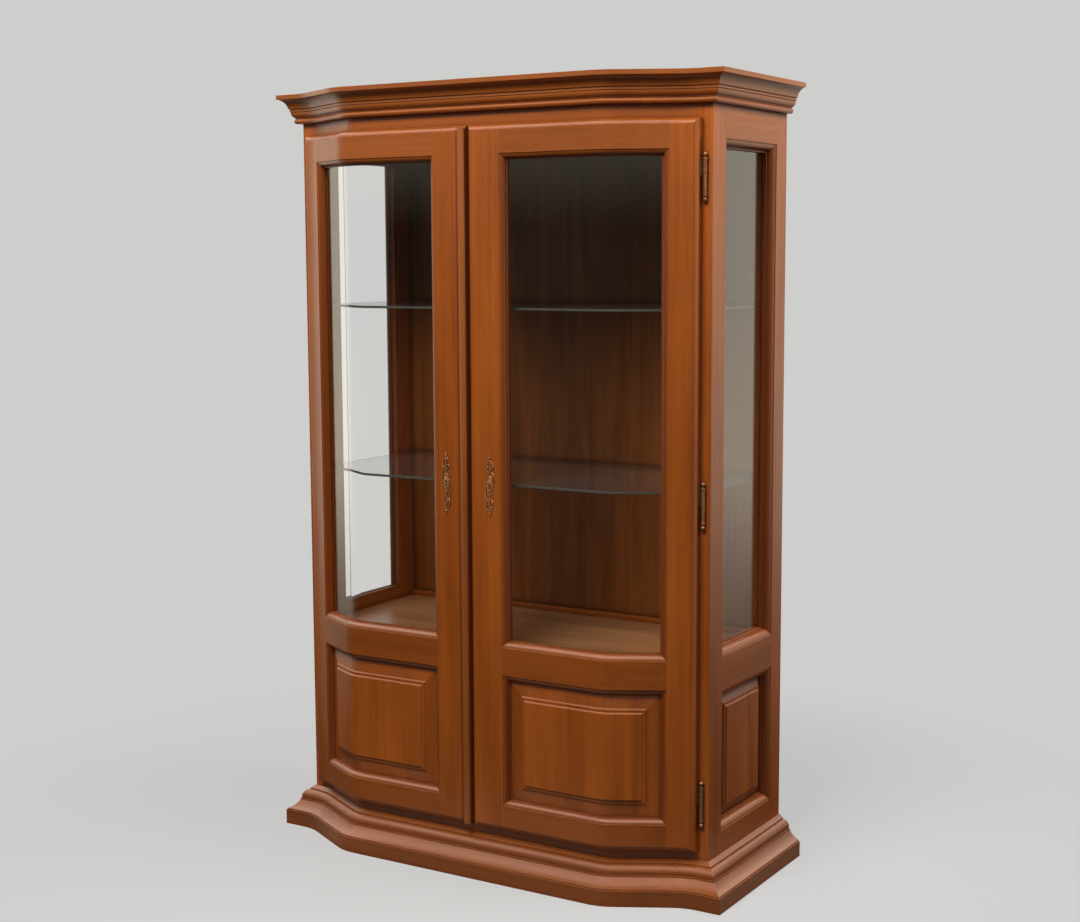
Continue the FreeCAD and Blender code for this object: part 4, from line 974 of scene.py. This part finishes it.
@dataclass
class KeyholePlate:
    """A pierced cast plate of scrolls around a keyhole."""

    side: Side
    finish: AgedMetal
    scrolls: tuple[tuple[float, float, tuple[Flat, ...]], ...] = (
        (1.0, 1.9, ((0.6, 59), (4.8, 58), (8.7, 52.5), (9.7, 45), (7.4, 38.4), (3.6, 38.2), (2.6, 42),
                    (5.0, 44.4))),
        (0.9, 1.7, ((2.2, 34), (7.6, 31.8), (11.0, 25.5), (11.6, 16), (11.0, 7))),
        (0.8, 1.5, ((1.0, -32), (5.6, -34), (8.2, -39.5), (6.6, -45), (3.6, -43.2))),
        (0.6, 1.5, ((0.4, -47), (3.8, -50.5), (4.8, -56.5), (2.2, -61.5), (0.2, -64))),
        (1.1, 1.7, ((0, -72), (0.9, -60), (-0.7, -46), (0, -32), (0, -22))),
    )
    bosses: tuple[tuple[Flat, float, float, float], ...] = (
        ((5.0, 44.4), 1.9, 1.9, 3.6), ((9.8, 35.4), 1.6, 1.9, 2.8), ((10.9, 2.0), 1.7, 2.6, 3.2),
        ((10.4, -8.0), 1.5, 2.2, 2.8), ((8.9, -16.5), 1.3, 2.0, 2.6), ((3.6, -43.2), 1.6, 1.6, 3.2),
        ((0.0, 66.5), 2.6, 3.4, 3.4), ((0.0, 72.0), 1.6, 3.0, 2.4), ((6.6, -27.0), 1.5, 2.0, 2.8),
    )
    sections: tuple[Flat, ...] = ((1.0, 0.0), (1.0, 1.4), (0.9, 2.3), (0.78, 2.2), (0.7, 1.7), (0.6, 2.0),
                                  (0.4, 3.0), (0.2, 3.5), (0.06, 3.6), (0.0, 3.3), (0.0, 0.0))
    half_width: float = 9.4
    half_length: float = 25.0
    eye: float = 2.4
    eye_rise: float = 2.2
    slot_half: float = 1.1
    slot_flare: float = 1.6
    slot_end: float = -7.5

    def hole(self) -> list[Flat]:
        """Outline of the keyhole, from the right of its slot round its eye.

        Returns:
            The outline's points.
        """
        steps = 22
        low = math.asin(math.sqrt(1.0 - (self.slot_half / self.eye) ** 2))
        arc = [-low + (math.pi + 2.0 * low) * step / steps for step in range(steps + 1)]
        points = [(self.eye * math.cos(turn), self.eye_rise + self.eye * math.sin(turn)) for turn in arc]
        top = points[-1][1]
        flare = self.slot_flare - self.slot_half
        sides = [(self.slot_half + flare * share, top + (self.slot_end - top) * share)
                 for share in (0.25, 0.5, 0.75, 1.0)]
        points += [(-across, up) for across, up in sides]
        points += [(self.slot_flare * share, self.slot_end) for share in (-0.5, 0.0, 0.5)]
        return points + sides[::-1]

    def build(self) -> None:
        """Casts the plate onto its door in place of the plain one."""
        node = self.side.nodes("escutcheon")[0]
        low, high = (Vector(corner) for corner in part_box(node))
        middle = (low + high) / 2.0
        relief = Relief()
        for thin, thick, path in self.scrolls:
            relief.scroll(path, thin, thick)
            relief.scroll(relief.turned(path), thin, thick)
        for centre, wide, long, height in self.bosses:
            relief.boss(centre, wide, long, height)
            relief.boss(relief.turned([centre])[0], wide, long, height)
        relief.cartouche(self.half_width, self.half_length, self.sections, self.hole())
        name = f"{node}_cast"
        mesh = relief.mesh(name, Vector((middle.x, high.y, middle.z)), self.side.sign)
        mesh.materials.append(self.finish.material())
        piece = placed(name, mesh)
        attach(piece, self.side.body)
        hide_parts(node)
        LOG.info("%s: %d points", name, len(mesh.vertices))


@dataclass
class Fittings:
    """Hinges, keyhole plates, lock, slide bolts and shelf pins."""

    brass: AgedMetal = AgedMetal("metal_cast_brass", (0.58, 0.26, 0.095), (0.27, 0.105, 0.034),
                                 (0.06, 0.016, 0.004))
    bronze: AgedMetal = AgedMetal("metal_dark_bronze", (0.34, 0.155, 0.065), (0.18, 0.074, 0.03),
                                  (0.05, 0.018, 0.007), rough=0.42)
    steel: AgedMetal = AgedMetal("metal_steel", (0.52, 0.51, 0.49), (0.36, 0.35, 0.34), (0.08, 0.075, 0.07),
                                 rough=0.3, scale=90.0, metallic=0.95)

    def build(self) -> None:
        """Dresses the metal nodes and casts the keyhole plates."""
        dress(self.bronze, sided("hinge_frame_halves"))
        for side in Side:
            dress(self.bronze, side.nodes("hinge_halves"))
            dress(self.brass, side.nodes("escutcheon"))
            KeyholePlate(side, self.brass).build()
        dress(self.brass, ["shelf_pins"])
        dress(self.steel, ["lock_case", "lock_bolt", "top_bolt", "bottom_bolt"])
        dress(self.steel, Side.LEFT.nodes("strike_plate", "bolt_guides"))


@dataclass
class Viewpoint:
    """The camera, as the photograph was taken."""

    eye: Triple = (2.2846, -3.6428, 1.5035)
    azimuth: float = 31.5446
    pitch: float = 6.8521
    roll: float = -0.2736
    focal_pixels: float = 1739.07
    frame_pixels: int = 1080
    sensor_mm: float = 36.0
    reach: float = 60.0

    def build(self) -> None:
        """Makes the camera and hands it to the scene."""
        camera = bpy.data.cameras.new("viewpoint")
        camera.sensor_fit = "HORIZONTAL"
        camera.sensor_width = self.sensor_mm
        camera.lens = self.focal_pixels / self.frame_pixels * self.sensor_mm
        camera.clip_end = self.reach
        turn, dip, lean = (math.radians(angle) for angle in (self.azimuth, self.pitch, self.roll))
        ahead = Vector((-math.sin(turn) * math.cos(dip), math.cos(turn) * math.cos(dip), -math.sin(dip)))
        level = Vector((math.cos(turn), math.sin(turn), 0.0))
        above = level.cross(ahead)
        right = level * math.cos(lean) + above * math.sin(lean)
        up = above * math.cos(lean) - level * math.sin(lean)
        holder = placed("viewpoint", camera)
        holder.matrix_world = Matrix((right, up, -ahead)).transposed().to_4x4()
        holder.location = self.eye
        bpy.context.scene.camera = holder
        LOG.info("camera: lens %.2f mm", camera.lens)


@dataclass(frozen=True)
class SoftLight:
    """One large rectangular lamp, which lights surfaces but never shows itself."""

    name: str
    place: Triple
    aim: Triple
    width: float
    height: float
    power: float

    def build(self) -> None:
        """Adds the lamp to the scene."""
        lamp = bpy.data.lights.new(self.name, "AREA")
        lamp.shape = "RECTANGLE"
        lamp.size = self.width
        lamp.size_y = self.height
        lamp.energy = self.power
        holder = placed(self.name, lamp)
        holder.location = self.place
        holder.rotation_mode = "QUATERNION"
        holder.rotation_quaternion = (Vector(self.aim) - Vector(self.place)).to_track_quat("-Z", "Y")
        holder.visible_camera = False
        holder.visible_transmission = False
        holder.visible_glossy = False


@dataclass(frozen=True)
class FloorFinish(Finish):
    """A matt floor with a faint shadow, whose far part shows as the plain surround."""

    surround: Colour = PALE_GREY
    lit: Colour = (0.66, 0.66, 0.65)
    bounced: Colour = (0.16, 0.155, 0.15)
    least_glow: float = 0.65
    melt: tuple[float, float] = (0.8, 2.0)
    image_reach: float = 9.0
    near_image: float = 0.28
    near: tuple[float, float] = (0.65, 0.95)

    def paint(self, graph: Graph, shader: bpy.types.Node, output: bpy.types.Node) -> None:
        """Blends from the lit floor to the surround's own brightness, and bounces little light.

        Args:
            graph: the material's graph.
            shader: its principled shader.
            output: its output node.
        """
        shader.inputs["Base Color"].default_value = (*self.lit, 1.0)
        shader.inputs["Roughness"].default_value = 0.9
        shader.inputs["Specular IOR Level"].default_value = 0.0
        reach = graph.vector("LENGTH", graph.here())["Value"]
        far = graph.spread(reach, *self.melt, self.least_glow, 1.0)
        glow = graph.node("Emission", Color=(*self.surround, 1.0), Strength=Studio.glazed(graph))
        shown = graph.choose(far, shader.outputs[0], glow.outputs[0])
        bounce = graph.node("BsdfDiffuse", Color=(*self.bounced, 1.0))
        heading = graph.axes(graph.vector("NORMALIZE", graph.here())["Vector"])
        fade = graph.spread(reach, 0.0, self.image_reach)
        level = graph.maths("MULTIPLY", Studio.mirrored(graph, heading), fade)
        level = graph.maths("MAXIMUM", level, graph.spread(reach, *self.near, self.near_image, 0.0))
        image = graph.node("Emission", Color=(*WARM_WHITE, 1.0), Strength=level)
        glossy = graph.node("LightPath").outputs["Is Glossy Ray"]
        unseen = graph.choose(glossy, bounce.outputs[0], image.outputs[0])
        graph.feed(output.inputs["Surface"], graph.choose(Studio.seen(graph), unseen, shown))


@dataclass
class Studio:
    """Pale floor and surround with plain soft light."""

    surround: Colour = PALE_GREY
    floor: FloorFinish = FloorFinish("studio_floor")
    through_glass: ClassVar[float] = 1.24
    sky: float = 0.1
    ahead: ClassVar[float] = 0.03
    behind: ClassVar[float] = 1.0
    back_range: ClassVar[tuple[float, float]] = (-0.75, 0.1)
    leftward: ClassVar[float] = 1.3
    left_range: ClassVar[tuple[float, float]] = (-0.3, -0.9)
    high: float = 0.7
    ceiling: float = 3.6
    glass_depth: float = 2.5
    floor_radius: float = 24.0
    floor_sides: int = 96
    lamps: tuple[SoftLight, ...] = field(default_factory=lambda: (
        SoftLight("lamp_key", (0.2, -2.7, 4.0), (0.0, -0.2, 1.4), 2.0, 1.2, 158.0),
        SoftLight("lamp_right", (1.95, 0.4, 3.0), (0.55, 0.0, 1.3), 1.4, 1.2, 46.0),
        SoftLight("lamp_left", (-3.5, 0.2, 1.8), (0.0, 0.0, 1.0), 2.2, 2.2, 8.0),
        SoftLight("lamp_top", (0.0, 0.2, 4.4), (0.0, 0.0, 0.0), 2.4, 1.6, 30.0),
    ))

    def build(self) -> None:
        """Builds the world, the floor and the lamps."""
        self.world()
        self.ground()
        for lamp in self.lamps:
            lamp.build()

    def world(self) -> None:
        """Shows the pale surround to the eye and through glass; its mirror image is dim in front."""
        world = bpy.data.worlds.new("surround")
        world.use_nodes = True
        world.node_tree.nodes.clear()
        graph = Graph(world.node_tree)
        path = graph.node("LightPath").outputs
        shown = graph.node("Background", Color=(*self.surround, 1.0), Strength=self.glazed(graph))
        heading = graph.axes(graph.node("TexCoord").outputs["Generated"])
        level = self.mirrored(graph, heading)
        level = graph.maths("MAXIMUM", level, graph.spread(heading["Z"], 0.0, 0.1, 0.0, self.high))
        level = graph.maths("MAXIMUM", level, graph.spread(heading["Z"], 0.2, 0.7, 0.0, self.ceiling))
        colour = graph.blend(graph.spread(heading["Z"], 0.1, 0.5), WARM_WHITE, CEILING_WHITE)
        within = graph.maths("GREATER_THAN", path["Transmission Depth"], self.glass_depth)
        excess = graph.maths("SUBTRACT", level, graph.maths("MINIMUM", level, self.surround[0]))
        level = graph.maths("SUBTRACT", level, graph.maths("MULTIPLY", excess, within))
        colour = graph.blend(within, colour, (1.0, 1.0, 1.0))
        image = graph.node("Background", Color=colour, Strength=level)
        light = graph.node("Background", Color=(1.0, 1.0, 1.0, 1.0), Strength=self.sky)
        unseen = graph.choose(path["Is Glossy Ray"], light.outputs[0], image.outputs[0])
        graph.node("OutputWorld", Surface=graph.choose(self.seen(graph), unseen, shown.outputs[0]))
        bpy.context.scene.world = world

    @classmethod
    def mirrored(cls, graph: Graph, heading: bpy.types.NodeOutputs) -> Socket:
        """Brightness of the surround's mirror image at the height of the horizon.

        Args:
            graph: the graph that asks.
            heading: X and Y of the way that a mirrored ray goes.

        Returns:
            The brightness's socket.
        """
        level = graph.spread(heading["Y"], *cls.back_range, cls.ahead, cls.behind)
        return graph.maths("MULTIPLY", level, graph.spread(heading["X"], *cls.left_range, 1.0, cls.leftward))

    @staticmethod
    def seen(graph: Graph) -> Socket:
        """Is 1 for rays from the eye, straight or through glass alone.

        Args:
            graph: the graph that asks.

        Returns:
            The mask's socket.
        """
        path = graph.node("LightPath").outputs
        bounces = graph.maths("ADD", path["Diffuse Depth"], path["Glossy Depth"])
        straight = graph.maths("LESS_THAN", bounces, 0.5)
        looking = graph.maths("MAXIMUM", path["Is Camera Ray"], path["Is Transmission Ray"])
        return graph.maths("MULTIPLY", looking, straight)

    @classmethod
    def glazed(cls, graph: Graph) -> Socket:
        """Brightness that makes the surround look alike beside glass and through it.

        Args:
            graph: the graph that asks.

        Returns:
            The strength's socket.
        """
        glass = graph.node("LightPath").outputs["Is Transmission Ray"]
        return graph.spread(glass, 0.0, 1.0, 1.0, cls.through_glass)

    def ground(self) -> None:
        """A wide floor that keeps the shadow near the object and melts into the surround."""
        shape = bmesh.new()
        bmesh.ops.create_circle(shape, cap_ends=True, segments=self.floor_sides, radius=self.floor_radius)
        mesh = bpy.data.meshes.new("floor")
        shape.to_mesh(mesh)
        shape.free()
        floor = placed("floor", mesh)
        mesh.materials.append(self.floor.material())


def main() -> None:
    """Dresses the cabinet, then sets the camera and the light."""
    logging.basicConfig(level=logging.INFO, format="%(name)s %(message)s")
    bpy.context.scene.view_settings.view_transform = "Standard"
    for part in (Carcass(), Doors(), Glazing(), Fittings(), Viewpoint(), Studio()):
        part.build()
        LOG.info("%s done", type(part).__name__)


if __name__ == "__main__":
    main()
